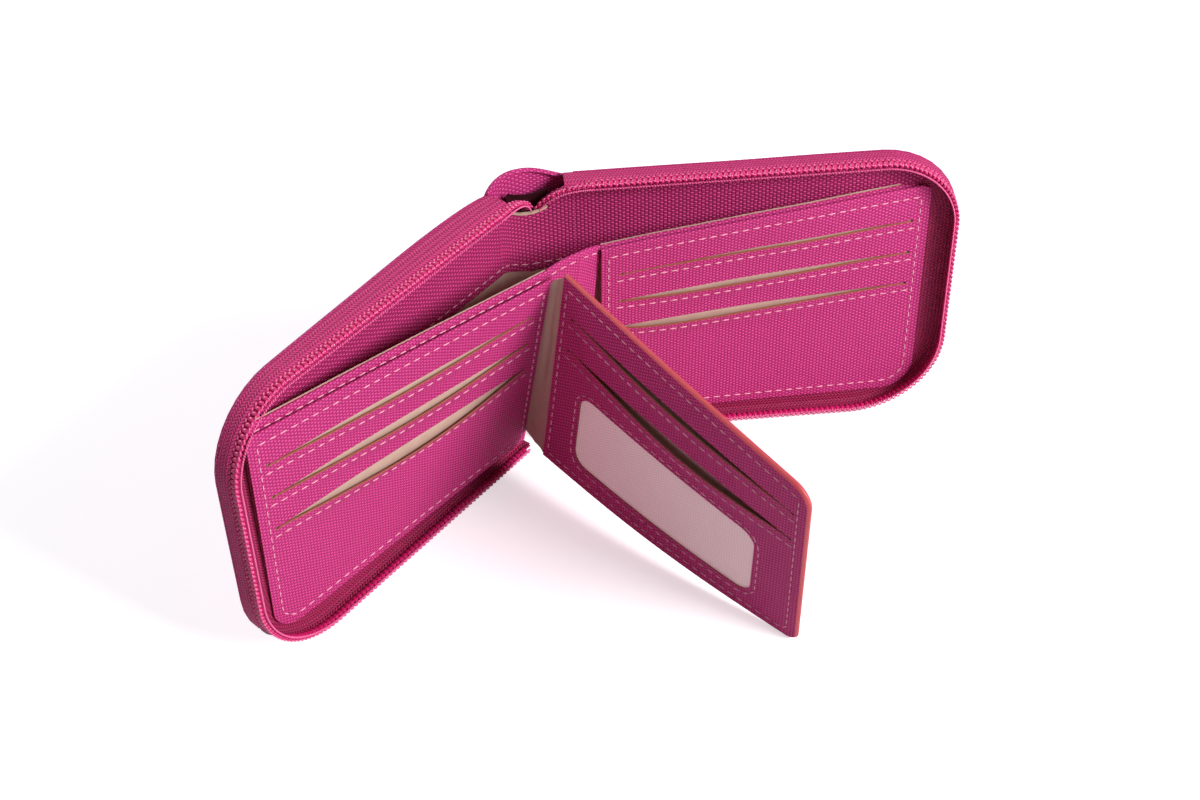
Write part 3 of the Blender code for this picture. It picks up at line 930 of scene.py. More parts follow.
@dataclass(frozen=True)
class Thread:
    """A row of stitches."""

    pitch: float = 0.0034
    length: float = 0.0023
    radius: float = 0.00021

    def sew(self, mesh: bmesh.types.BMesh, path: Sequence[FlatPoint],
            place: Callable[[float, float], Vector]) -> None:
        """Add stitches along a line drawn on the flat cloth.

        Args:
            mesh: the mesh that gathers the stitches.
            path: the line's corners on the flat cloth.
            place: gives a flat point's place after the slots gape.
        """
        lengths = [hypot(q[0] - p[0], q[1] - p[1]) for p, q in zip(path, path[1:])]
        total = sum(lengths)
        count = max(1, round(total / self.pitch))
        for index in range(count):
            middle, along = self._walk(path, lengths, (index + 0.5) * total / count)
            half = (along[0] * self.length / 2, along[1] * self.length / 2)
            tail = place(middle[0] - half[0], middle[1] - half[1])
            head = place(middle[0] + half[0], middle[1] + half[1])
            way = (head - tail).normalized()
            side = Vector((0, 0, 1)).cross(way).normalized()
            up = way.cross(side)
            turn = Matrix((way, side, up)).transposed().to_4x4()
            size = Matrix.Diagonal((self.length / 2, self.radius, self.radius * 0.9, 1))
            spot = Matrix.Translation((head + tail) / 2 + Vector((0, 0, self.radius * 0.45)))
            STITCH.add(mesh, spot @ turn @ size)

    @staticmethod
    def _walk(path: Sequence[FlatPoint], lengths: Sequence[float],
              reach: float) -> tuple[FlatPoint, FlatPoint]:
        """Return the point and the direction at a distance along a line.

        Args:
            path: the line's corners.
            lengths: the length of each stretch.
            reach: distance along the line.

        Returns:
            The point and the direction.
        """
        for (x, y), (next_x, next_y), length in zip(path, path[1:], lengths):
            if reach <= length or length == lengths[-1] and (next_x, next_y) == tuple(path[-1]):
                share = reach / length
                along = ((next_x - x) / length, (next_y - y) / length)
                return (x + (next_x - x) * share, y + (next_y - y) * share), along
            reach -= length
        return path[-1], (1, 0)


def corner_line(low: FlatPoint, high: FlatPoint, radius: float, steps: int = 6) -> list[FlatPoint]:
    """Return the line from the upper right of a rectangle down and round to its lower left.

    Args:
        low: the rectangle's lower left corner.
        high: its upper right corner.
        radius: the radius of its lower right corner.
        steps: how many stretches round it.

    Returns:
        The line's points.
    """
    centre = (high[0] - radius, low[1] + radius)
    turns = [-pi / 2 * step / steps for step in range(steps + 1)]
    return [high, *[(centre[0] + radius * cos(t), centre[1] + radius * sin(t)) for t in turns], low]


class Shader:
    """Small helper that lays out the nodes of one material or group."""

    def __init__(self, tree: bpy.types.NodeTree) -> None:
        """Keep the tree."""
        self.tree = tree

    def node(self, kind: str, **settings: object) -> bpy.types.Node:
        """Add a node and set its plain settings.

        Args:
            kind: the node's type.
            settings: its plain settings by name.

        Returns:
            The node.
        """
        made = self.tree.nodes.new(kind)
        for key, value in settings.items():
            setattr(made, key, value)
        return made

    def link(self, source: bpy.types.NodeSocket, target: bpy.types.NodeSocket) -> None:
        """Join two sockets."""
        self.tree.links.new(source, target)

    def maths(self, operation: str, *values: object) -> bpy.types.NodeSocket:
        """Add a Math node whose inputs are sockets or numbers.

        Args:
            operation: the Math node's operation.
            values: its inputs in order.

        Returns:
            Its output.
        """
        made = self.node("ShaderNodeMath", operation=operation)
        for socket, value in zip(made.inputs, values):
            if isinstance(value, bpy.types.NodeSocket):
                self.link(value, socket)
            else:
                socket.default_value = value
        return made.outputs[0]

    def mix(self, factor: object, first: object, second: object) -> bpy.types.NodeSocket:
        """Add a colour mix whose inputs are sockets or colours.

        Args:
            factor: the share of the second.
            first: one colour.
            second: the other.

        Returns:
            The mixed colour.
        """
        made = self.node("ShaderNodeMix", data_type="RGBA")
        sockets = (made.inputs["Factor"], *[s for s in made.inputs if s.type == "RGBA"])
        for socket, value in zip(sockets, (factor, first, second)):
            if isinstance(value, bpy.types.NodeSocket):
                self.link(value, socket)
            else:
                socket.default_value = (*value, 1)
        return next(s for s in made.outputs if s.type == "RGBA")

    def clouds(self, place: bpy.types.NodeSocket, scale: float, detail: float = 2.0,
               space: str = "2D") -> bpy.types.NodeSocket:
        """Add a noise texture and return its value.

        Args:
            place: the coordinates.
            scale: the noise's scale.
            detail: its octaves.
            space: 2D or 3D.

        Returns:
            The noise, from 0 to 1.
        """
        made = self.node("ShaderNodeTexNoise", noise_dimensions=space)
        made.inputs["Scale"].default_value = scale
        made.inputs["Detail"].default_value = detail
        self.link(place, made.inputs["Vector"])
        return made.outputs["Fac"]

    def bump(self, height: bpy.types.NodeSocket, depth: float, strength: float,
             target: bpy.types.Node) -> None:
        """Let a height raise the surface of a Principled shader.

        Args:
            height: the height, from 0 to 1.
            depth: what a height of 1 is, in metres.
            strength: how strongly it shows.
            target: the Principled shader.
        """
        made = self.node("ShaderNodeBump")
        made.inputs["Distance"].default_value = depth
        made.inputs["Strength"].default_value = strength
        self.link(height, made.inputs["Height"])
        self.link(made.outputs[0], target.inputs["Normal"])


class Weave(Enum):
    """The two woven structures on the wallet."""

    PEBBLE = "Pebbled weave"
    TWILL = "Zip tape twill"


class WeaveGroup:
    """One weave's shader group: it reads the cloth's own UV map and gives the threads' height and a Shade that
    darkens the weave's hollows as painted shade.
    """

    def __init__(self, weave: Weave, thread: float, wander: float) -> None:
        """Start the group.

        Args:
            weave: which weave it is.
            thread: the first value of its thread size, in metres.
            wander: the first value of how unevenly its threads lie.
        """
        tree = bpy.data.node_groups.new(weave.value, "ShaderNodeTree")
        for label, value in (("Thread", thread), ("Wander", wander)):
            socket = tree.interface.new_socket(label, in_out="INPUT", socket_type="NodeSocketFloat")
            socket.default_value = value
        for label in ("Shade", "Height", "Fade"):
            tree.interface.new_socket(label, in_out="OUTPUT", socket_type="NodeSocketFloat")
        self.shader = Shader(tree)
        self.inputs = self.shader.node("NodeGroupInput").outputs
        self.cloth = self.shader.node("ShaderNodeUVMap", uv_map="Cloth").outputs[0]
        parts = self.shader.node("ShaderNodeSeparateXYZ")
        self.shader.link(self.cloth, parts.inputs[0])
        self.parts = parts.outputs

    def uneven(self, clouds: bpy.types.NodeSocket) -> bpy.types.NodeSocket:
        """Return a noise centred on 0 and sized by the group's Wander."""
        centred = self.shader.maths("SUBTRACT", clouds, 0.5)
        return self.shader.maths("MULTIPLY", centred, self.inputs["Wander"])

    def give(self, **values: bpy.types.NodeSocket) -> None:
        """Link the group's outputs."""
        outside = self.shader.node("NodeGroupOutput")
        for label, value in values.items():
            self.shader.link(value, outside.inputs[label])


def weave_group() -> None:
    """Build the pebbled plain weave of the wallet's cloth."""
    group = WeaveGroup(Weave.PEBBLE, 0.00105, 0.25)
    shader = group.shader
    drift = group.uneven(shader.clouds(group.cloth, 260))
    waves = []
    for axis, way, size in (("X", 1.2, 1.0), ("Y", -1.2, 0.6)):
        cell = shader.maths("MULTIPLY", group.inputs["Thread"], size)
        count = shader.maths("DIVIDE", group.parts[axis], cell)
        turned = shader.maths("ADD", count, shader.maths("MULTIPLY", drift, way))
        waves.append(shader.maths("SINE", shader.maths("MULTIPLY", turned, pi)))
    product = shader.maths("MULTIPLY", *waves)
    over = shader.maths("POWER", shader.maths("MAXIMUM", product, 0.0), 0.6)
    below = shader.maths("MAXIMUM", shader.maths("MULTIPLY", product, -1.0), 0.0)
    under = shader.maths("POWER", below, 0.6)
    height = shader.maths("MULTIPLY_ADD", under, 0.45, over)
    # Shade is lowest in the hollows between the pebbles and on the lower cross threads: painted shade.
    shade = shader.maths("MULTIPLY_ADD", under, 0.25, over)
    group.give(Shade=shade, Height=height, Fade=shader.clouds(group.cloth, 35, 4))


def twill_group() -> None:
    """Build the fine broken twill of the zip tape."""
    group = WeaveGroup(Weave.TWILL, 0.0008, 0.3)
    shader = group.shader
    across = shader.maths("DIVIDE", group.parts["X"], group.inputs["Thread"])
    along = shader.maths("DIVIDE", group.parts["Y"], group.inputs["Thread"])
    zigzag = shader.maths("PINGPONG", along, 1.0)
    ribs = shader.maths("SINE", shader.maths("MULTIPLY", shader.maths("ADD", across, zigzag), 2 * pi))
    knots = shader.maths("SINE", shader.maths("MULTIPLY", along, 2 * pi))
    mixed = shader.maths("MULTIPLY_ADD", knots, 0.35, shader.maths("MULTIPLY", ribs, 0.65))
    height = shader.maths("MULTIPLY_ADD", mixed, 0.5, 0.5)
    fade = shader.clouds(group.cloth, 900)
    # Shade follows the twill's height, so its hollows are darker as painted shade, with uneven tone added from
    # the noise.
    shade = shader.maths("ADD", height, group.uneven(fade))
    group.give(Shade=shade, Height=height, Fade=fade)


Colour = tuple[float, float, float]


@dataclass(frozen=True)
class WovenFinish:
    """Cloth with visible threads."""

    name: str
    light: Colour
    # The colour of the weave's hollows: painted shade.
    dark: Colour
    weave: Weave = Weave.PEBBLE
    thread: float = 0.00105
    depth: float = 0.00022
    roughness: float = 0.7
    # Emission standing for light that shines through the cloth from behind: painted light.
    glow: float = 0.0

    def material(self) -> bpy.types.Material:
        """Return the material, made on first use."""
        if self.name in bpy.data.materials:
            return bpy.data.materials[self.name]
        made, shader, principled = blank_material(self.name)
        group = shader.node("ShaderNodeGroup", node_tree=bpy.data.node_groups[self.weave.value])
        group.inputs["Thread"].default_value = self.thread
        faded = tuple(0.78 * part for part in self.light)
        worn = shader.mix(shader.maths("MULTIPLY", group.outputs["Fade"], 0.35), self.light, faded)
        # Towards dark in the weave's hollows: painted shade.
        tone = shader.mix(group.outputs["Shade"], self.dark, worn)
        shader.link(tone, principled.inputs["Base Color"])
        height = group.outputs["Height"]
        shader.bump(height, self.depth, 0.9, principled)
        rough = shader.maths("MULTIPLY_ADD", height, -0.15, self.roughness)
        shader.link(rough, principled.inputs["Roughness"])
        principled.inputs["Specular IOR Level"].default_value = 0.25
        # Pinkish emission, on finishes that have it, is painted light shining through the cloth from behind.
        principled.inputs["Emission Color"].default_value = (1, 0.66, 0.68, 1)
        principled.inputs["Emission Strength"].default_value = self.glow
        return made


@dataclass(frozen=True)
class PlainFinish:
    """Smooth lining, thread, nylon, paint or board, with slight unevenness of colour and surface."""

    name: str
    light: Colour
    dark: Colour
    roughness: float = 0.5
    grain: float = 900
    depth: float = 0.00003
    coat: float = 0.0
    metallic: float = 0.0

    def material(self) -> bpy.types.Material:
        """Return the material, made on first use."""
        if self.name in bpy.data.materials:
            return bpy.data.materials[self.name]
        made, shader, principled = blank_material(self.name)
        place = shader.node("ShaderNodeTexCoord").outputs["Object"]
        cloud = shader.clouds(place, self.grain, 5, "3D")
        shader.link(shader.mix(cloud, self.dark, self.light), principled.inputs["Base Color"])
        shader.bump(cloud, self.depth, 1.0, principled)
        rough = shader.maths("MULTIPLY_ADD", cloud, 0.2, self.roughness - 0.1)
        shader.link(rough, principled.inputs["Roughness"])
        principled.inputs["Metallic"].default_value = self.metallic
        principled.inputs["Coat Weight"].default_value = self.coat
        principled.inputs["Specular IOR Level"].default_value = 0.5 if self.roughness < 0.5 else 0.2
        return made


def blank_material(name: str) -> tuple[bpy.types.Material, Shader, bpy.types.Node]:
    """Start a material, and return it with a helper and its Principled shader.

    Args:
        name: the material's name.

    Returns:
        The material, the helper and the shader.
    """
    made = bpy.data.materials.new(name)
    made.use_nodes = True
    return made, Shader(made.node_tree), made.node_tree.nodes["Principled BSDF"]


@dataclass(frozen=True)
class Finishes:
    """Every finish of the wallet."""

    # Each woven finish's second colour is painted shade in the hollows of its weave.
    cloth: WovenFinish = WovenFinish("Magenta cloth", (0.98, 0.105, 0.43), (0.34, 0.008, 0.10))
    facing: WovenFinish = WovenFinish(
        "Magenta facing", (0.98, 0.09, 0.39), (0.24, 0.004, 0.06), thread=0.00115, depth=0.00035)
    tape: WovenFinish = WovenFinish(
        "Zip tape", (0.84, 0.065, 0.27), (0.20, 0.004, 0.05), Weave.TWILL, 0.0010, 0.00025)
    # The turned tape's darker colours are painted shade where it lies recessed under the panel's foot.
    inner_tape: WovenFinish = WovenFinish(
        "Inner zip tape", (0.62, 0.04, 0.17), (0.09, 0.002, 0.02), Weave.TWILL, 0.0011, 0.0003)
    coil: PlainFinish = PlainFinish(
        "Zip coil nylon", (0.72, 0.016, 0.20), (0.60, 0.01, 0.13), 0.34, 1500, 0.00001, 0.3)
    coil_thread: PlainFinish = PlainFinish(
        "Zip sewing thread", (0.92, 0.17, 0.42), (0.78, 0.08, 0.28), 0.45, 3000, 0.00002)
    thread: PlainFinish = PlainFinish(
        "Pink thread", (0.96, 0.55, 0.66), (0.84, 0.33, 0.47), 0.6, 2500, 0.00002)
    lining: PlainFinish = PlainFinish(
        "Beige lining", (0.64, 0.46, 0.37), (0.50, 0.34, 0.27), 0.55, 240, 0.00012)
    raw_edge: PlainFinish = PlainFinish(
        "Raw cloth edge", (0.46, 0.16, 0.10), (0.22, 0.05, 0.04), 0.8, 2600, 0.00005)
    # Near-black sheet behind the zip slot: painted shade in the recess.
    slot_painted_shade: PlainFinish = PlainFinish(
        "Dark zip pocket", (0.050, 0.002, 0.010), (0.025, 0.001, 0.005), 0.85, 800, 0.00005)
    # The window mesh glows: painted light standing for the light that shines through it.
    mesh: WovenFinish = WovenFinish(
        "Window mesh", (0.98, 0.84, 0.85), (0.72, 0.50, 0.54), thread=0.0009, depth=0.00006, glow=0.16)
    coral: PlainFinish = PlainFinish(
        "Coral painted edge", (0.62, 0.075, 0.090), (0.46, 0.040, 0.06), 0.45, 700, 0.00008, 0.1)
    board: PlainFinish = PlainFinish(
        "Grey board", (0.32, 0.30, 0.28), (0.22, 0.20, 0.19), 0.85, 1400, 0.00005)
    metal: PlainFinish = PlainFinish(
        "Painted zip metal", (0.52, 0.02, 0.15), (0.42, 0.012, 0.11), 0.3, 500, 0.00001, 0.4, metallic=0.6)


FINISHES = Finishes()


def linked(name: str, data: bpy.types.ID) -> bpy.types.Object:
    """Make an object and link it to the scene.

    Args:
        name: the object's name.
        data: its mesh, camera or light.

    Returns:
        The object.
    """
    made = bpy.data.objects.new(name, data)
    bpy.context.scene.collection.objects.link(made)
    return made


def make_piece(name: str, mesh: bmesh.types.BMesh, surface: Surface,
               *finishes: WovenFinish | PlainFinish, thickness: float = 0.0) -> bpy.types.Object:
    """Hang a flat mesh on its surface and make it a piece.

    Args:
        name: the piece's name.
        mesh: the flat mesh, which is used up.
        surface: what it hangs on.
        finishes: its finish, and that of its cut edges.
        thickness: the cloth's thickness, or 0 for a closed mesh.

    Returns:
        The new object.
    """
    layer = mesh.verts.layers.float_vector.get("flat")
    cloth = mesh.loops.layers.uv.new("Cloth")
    for face in mesh.faces:
        face.smooth = True
        for loop in face.loops:
            cut = loop.vert[layer] if layer else loop.vert.co
            loop[cloth].uv = (cut[0], cut[1])
    for vert in mesh.verts:
        vert.co = surface.lifted(*vert.co)
    if surface.facing < 0:
        bmesh.ops.reverse_faces(mesh, faces=mesh.faces)
    data = bpy.data.meshes.new(name)
    mesh.to_mesh(data)
    mesh.free()
    for finish in finishes:
        data.materials.append(finish.material())
    piece = linked(name, data)
    if thickness:
        shell = piece.modifiers.new("Cloth thickness", "SOLIDIFY")
        shell.thickness = thickness
        shell.offset = -1
        shell.use_even_offset = False
        shell.material_offset_rim = 1 if len(finishes) > 1 else 0
        bpy.context.view_layer.update()
        solid = bpy.data.meshes.new_from_object(piece.evaluated_get(bpy.context.evaluated_depsgraph_get()))
        piece.modifiers.clear()
        piece.data = solid
        solid.name = name
        solid.set_sharp_from_angle(angle=radians(50))
    LOG.info("%s: %d faces", name, len(data.polygons))
    return piece


def place_on(piece: bpy.types.Object, body: str, slot: str, *nodes: str) -> None:
    """Make a piece ride on a body and hide the solids that it stands for.

    Args:
        piece: the piece.
        body: the body that it rides on.
        slot: its material slot; not used.
        nodes: the solids that it stands for, if any.
    """
    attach(piece, body)
    if nodes:
        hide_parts(*nodes)


def blend_on(piece: bpy.types.Object, end: Vector) -> None:
    """Bake a piece's transform into its mesh."""
    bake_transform(piece)


def stitching(name: str, surface: Surface, lines: Sequence[Sequence[FlatPoint]],
              place: Callable[[float, float], Vector], thread: Thread = Thread()) -> bpy.types.Object:
    """Sew rows of stitches as one piece.

    Args:
        name: the piece's name.
        surface: what the cloth that they are sewn in hangs on.
        lines: the lines that they follow on the flat cloth.
        place: gives a flat point's place after the slots gape.
        thread: the stitches' sizes.

    Returns:
        The new object.
    """
    seams = bmesh.new()
    for line in lines:
        thread.sew(seams, line, place)
    return make_piece(name, seams, surface, FINISHES.thread)


def unpushed(x: float, y: float) -> Vector:
    """Return the place of a flat point on cloth without slots."""
    return Vector((x, y, 0))


@dataclass(frozen=True)
class PanelSag:
    """How far one panel's slots gape and swell, where they gape most, and how its divider stands."""

    gapes: Sequence[float]
    swells: Sequence[float]
    peaks: Sequence[float]
    divider_rise: float
    divider_spread: float


PANEL_SAGS = {
    Side.LEFT: PanelSag(
        (0.0018, 0.0028, 0.0044), (0.0006, 0.0009, 0.0014), (0.5, 0.45, 0.43), 0.0024, 0.0004),
    Side.RIGHT: PanelSag(
        (0.0008, 0.0017, 0.0023), (0.0004, 0.0007, 0.0009), (0.6, 0.38, 0.3), 0.0002, 0.0),
}


@dataclass
class CardPanel:
    """One card panel: slotted face, three pocket linings, backing, bill divider and stitching."""

    side: Side
    cell: float = 0.0013
    slot_inset: float = 0.0057
    slot_length: float = 0.092
    first_drop: float = 0.0120
    pitch: float = 0.0123
    foot_radius: float = 0.0105
    top_radius: float = 0.002
    seam_in: float = 0.0022
    seam_out: float = 0.003
    seam_below_top: float = 0.0034
    seam_below_slot: float = 0.0031
    backing_depth: float = 0.0011
    divider_depth: float = 0.0016
    lining_depth: float = 0.0026
    divider_seam: float = 0.0020

    def __post_init__(self) -> None:
        """Take this side's sag."""
        self.sag = PANEL_SAGS[self.side]

    def build(self) -> None:
        """Make and place every piece of the panel."""
        drape = PanelDrape(self.side)
        self._face(drape)
        self._pockets(drape)
        self._backing()
        self._divider()

    def _flatten(self, piece: bpy.types.Object, drape: PanelDrape) -> None:
        """Give a twisted piece its own copy of its mesh."""
        drape.rest_anchor()
        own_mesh(piece)

    def _dress(self, piece: bpy.types.Object, drape: PanelDrape, slot: str, *nodes: str) -> None:
        """Place a piece on the panel's body and give it its own mesh."""
        place_on(piece, f"{self.side.label}_panel", slot, *nodes)
        self._flatten(piece, drape)

    def _slits(self) -> list[Slit]:
        """Return the three card slots."""
        top = PanelDrape(self.side).height - self.first_drop
        end = self.slot_inset + self.slot_length
        rows = enumerate(zip(self.sag.gapes, self.sag.swells, self.sag.peaks))
        return [Slit(self.slot_inset, end, top - k * self.pitch, g, s, p) for k, (g, s, p) in rows]

    def _face(self, drape: PanelDrape) -> None:
        """Make the slotted face and its stitching.

        Args:
            drape: the panel's surface.
        """
        name = self.side.label
        cut = FlatCut((0, 0), (drape.width, drape.height), self.cell)
        cut.round_corner(True, False, self.foot_radius)
        cut.round_corner(True, True, self.top_radius, 3)
        for slit in self._slits():
            cut.cut_slit(slit)
        cut.settle()
        cut.roll_top(0.0005)
        face = make_piece(f"card_face_cloth_{name}", cut.mesh, drape, FINISHES.cloth, FINISHES.raw_edge,
                          thickness=0.00035)
        self._dress(face, drape, "magenta_cloth", f"card_face_{name}")
        left, right, top = self.seam_in, drape.width - self.seam_out, drape.height - self.seam_below_top
        lines = [
            [(left, top), (right, top)],
            corner_line((left, 0.0032), (right, top - 0.0004), self.foot_radius - self.seam_out),
            [(left, 0.0036), (left, top - 0.0004)],
        ]
        for slit in cut.slits:
            below = slit.height - self.seam_below_slot
            lines.append([(slit.start - 0.0016, below), (slit.end + 0.0012, below)])
        stitches = stitching(f"card_face_stitching_{name}", drape, lines, cut.pushed)
        self._dress(stitches, drape, "magenta_cloth")

    def _pockets(self, drape: PanelDrape) -> None:
        """Make the three pocket linings that show in the slots.

        Args:
            drape: the panel's surface.
        """
        name = self.side.label
        for index, slit in enumerate(self._slits()):
            behind = PanelDrape(self.side, depth=0.0006 + 0.00012 * index)
            low = (slit.start - 0.0022, max(slit.height - 0.021, 0.004))
            cut = FlatCut(low, (slit.end + 0.0022, slit.height + 0.0018), 0.0018)
            pushed = replace(slit, height=slit.height + 0.0015, gape=0.0, swell=slit.swell * 0.62, reach=0.016)
            cut.slits.append(pushed)
            cut.settle()
            lining = make_piece(f"card_pocket_lining_{index + 1}_{name}", cut.mesh, behind, FINISHES.lining,
                                thickness=0.0001)
            self._dress(lining, drape, "beige_lining", f"card_pocket_{index + 1}_{name}")

    def _backing(self) -> None:
        """Make the layer that the pockets are sewn to."""
        name = self.side.label
        drape = PanelDrape(self.side, depth=self.backing_depth)
        cut = FlatCut((0.0004, 0.0004), (drape.width - 0.0002, drape.height - 0.0004), 0.0035)
        cut.round_corner(True, False, self.foot_radius)
        cut.settle()
        backing = make_piece(f"card_backing_cloth_{name}", cut.mesh, drape, FINISHES.cloth, FINISHES.raw_edge,
                             thickness=0.0002)
        self._dress(backing, drape, "magenta_cloth", f"card_backing_{name}")

    def _divider(self) -> None:
        """Make the bill divider behind the cards, with its rolled top and its lining."""
        name = self.side.label
        drape = PanelDrape(self.side, depth=self.divider_depth, spread=self.sag.divider_spread)
        top = drape.height + self.sag.divider_rise
        cut = FlatCut((0.0, 0.0006), (drape.width - 0.0004, top), 0.0020)
        cut.round_corner(True, False, self.foot_radius)
        cut.settle()
        cut.roll_top(0.0006)
        divider = make_piece(f"bill_divider_cloth_{name}", cut.mesh, drape, FINISHES.cloth, FINISHES.raw_edge,
                             thickness=0.0003)
        self._dress(divider, drape, "magenta_facing", f"bill_divider_{name}")
        behind = PanelDrape(self.side, depth=self.lining_depth, spread=self.sag.divider_spread)
        back = FlatCut((0.0, 0.0046), (drape.width - 0.0004, top + 0.0009), 0.0030)
        back.settle()
        lining = make_piece(f"bill_divider_lining_{name}", back.mesh, behind, FINISHES.lining,
                            thickness=0.0002)
        self._dress(lining, drape, "beige_lining")
        row = top - self.divider_seam
        line = [(0.0016, row), (drape.width - self.seam_out, row)]
        stitches = stitching(f"bill_divider_stitching_{name}", drape, [line], cut.pushed)
        self._dress(stitches, drape, "magenta_cloth")


@dataclass
class Cover:
    """One half's cover, wall, facing and lining."""

    side: Side
    edge_radius: float = 0.0016
    seam_start: float = 0.003
    seam_above: float = 0.0026
    overlap: float = 0.004
    edge_gap: float = 0.0008
    facing_level: float = 0.0015
    lining_level: float = 0.0011
    lining_foot: float = 0.0012
    ripple: float = 0.0003

    def build(self) -> None:
        """Make and place every piece of the half."""
        self._outside()
        self._wall()
        self._inside()

    def _outline(self, point: Vector) -> Vector:
        """Return the direction off the cover at a point of its outline.

        Args:
            point: a point of the flat cover's outline.

        Returns:
            The direction, one unit long.
        """
        upper = point.y > SHELL.height / 2
        radius = SHELL.corner_top if upper else SHELL.corner_foot
        x = max(point.x - (SHELL.length - radius), 0)
        y = point.y - min(max(point.y, SHELL.corner_foot), SHELL.height - SHELL.corner_top)
        return Vector((x, y, 0)).normalized()

    def _outside(self) -> None:
        """Make the cover's outer cloth, rolled forward at its rim."""
        name, inset = self.side.label, self.edge_radius
        plane = CoverPlane(self.side, -0.001, outside=True)
        end, top = SHELL.length - inset, SHELL.height - inset
        cut = FlatCut((self.seam_start, inset), (end, top), 0.003)
        cut.round_corner(True, False, SHELL.corner_foot - inset, 9)
        cut.round_corner(True, True, SHELL.corner_top - inset, 9)
        cut.settle()
        edges = cut.rim_edges(lambda p: p.x > self.seam_start + BESIDE)
        cut.roll(edges, self._outline, inset, pi / 2, 4)
        cover = make_piece(f"cover_cloth_{name}", cut.mesh, plane, FINISHES.cloth, thickness=0.0007)
        place_on(cover, f"{name}_half", "magenta_cloth", f"cover_{name}")

    def _wall(self) -> None:
        """Make the zip tape that stands round the rim."""
        name = self.side.label
        start_top = 0.0025 if self.side is Side.LEFT else 0.0
        wall = RimWall(self.side, inset=0.0001, step_in=0.0011, start_top=start_top)
        cut = FlatCut((0, 0.0004), (wall.total, 0.0064), 0.0010)
        cut.settle()
        tape = make_piece(f"zip_tape_cloth_{name}", cut.mesh, wall, FINISHES.tape, thickness=0.0004)
        place_on(tape, f"{name}_half", "zip_tape", f"zip_tape_{name}")

        back = RimReturn(self.side)
        low = (back.wall.top_run + back.wall.top_bend / 2, 0)
        turned = FlatCut(low, (back.wall.total + 0.0012, back.reach), 0.0012)
        turned.settle()
        # The turned tape takes the darker finish: painted shade in the recess under the panel's foot.
        inner = make_piece(f"zip_tape_return_{name}", turned.mesh, back, FINISHES.inner_tape,
                           thickness=0.00025)
        place_on(inner, f"{name}_half", "zip_tape")

    def _inside(self) -> None:
        """Make the facing and the lining inside the cover."""
        name = self.side.label
        foot = SHELL.facing_foot_left if self.side is Side.LEFT else SHELL.facing_foot_right
        end, top = SHELL.length - self.edge_gap, SHELL.height - self.edge_gap
        for label, span, finish, slot, level, radius in (
            ("facing", (foot, top), FINISHES.facing, "magenta_facing", self.facing_level, SHELL.corner_top),
            ("lining", (self.lining_foot, foot + self.overlap), FINISHES.lining, "beige_lining",
             self.lining_level, SHELL.corner_foot),
        ):
            low, high = span
            cut = FlatCut((self.seam_start, low), (end, high), 0.0022)
            cut.round_corner(True, label == "facing", radius - 0.001, 8)
            cut.settle()
            plane = CoverPlane(self.side, level, ripple=self.ripple)
            piece = make_piece(f"{label}_cloth_{name}", cut.mesh, plane, finish, FINISHES.raw_edge,
                               thickness=0.00025)
            place_on(piece, f"{name}_half", slot, f"{label}_{name}")
        row = foot + self.seam_above
        line = [(self.seam_start, row), (SHELL.length - 0.003, row)]
        plane = CoverPlane(self.side, self.facing_level, ripple=self.ripple)
        stitches = stitching(f"facing_stitching_{name}", plane, [line], unpushed)
        place_on(stitches, f"{name}_half", "magenta_facing")


@dataclass(frozen=True)
class CoilRow:
    """A row of nylon coil teeth with its sewing threads, laid flat: a along the row, b across it."""

    level: float = 0.0062
    pitch: float = 0.00172
    tooth: tuple[float, float, float] = (0.00084, 0.00155, 0.00090)
    slant: float = 0.14
    knot: tuple[float, float, float] = (0.00060, 0.00030, 0.00030)

    def lay(self, first: float, last: float) -> tuple[bmesh.types.BMesh, bmesh.types.BMesh]:
        """Lay the teeth and the threads.

        Args:
            first: where the row starts.
            last: where it ends.

        Returns:
            The mesh of the teeth and that of the threads.
        """
        teeth, threads = bmesh.new(), bmesh.new()
        count = max(1, round((last - first) / self.pitch))
        for index in range(count + 1):
            reach = between(first, last, index / count)
            TOOTH.add(teeth, self._spot((reach, self.level, 0), self.tooth, self.slant))
            half = self.pitch / 2
            for row, sink in ((-0.00130, 0.00050), (0.00118, 0.00060)):
                KNOT.add(threads, self._spot((reach + half, self.level + row, sink), self.knot, 0.3))
            for shift in (0, half):
                KNOT.add(threads, self._spot((reach + shift, self.level + 0.0016, -0.0008), self.knot, 0.7))
        return teeth, threads

    @staticmethod
    def _spot(place: tuple[float, float, float], size: tuple[float, float, float], slant: float) -> Matrix:
        """Return the matrix that sizes, turns and places one bead."""
        return Matrix.Translation(place) @ Matrix.Rotation(slant, 4, "Z") @ Matrix.Diagonal((*size, 1))


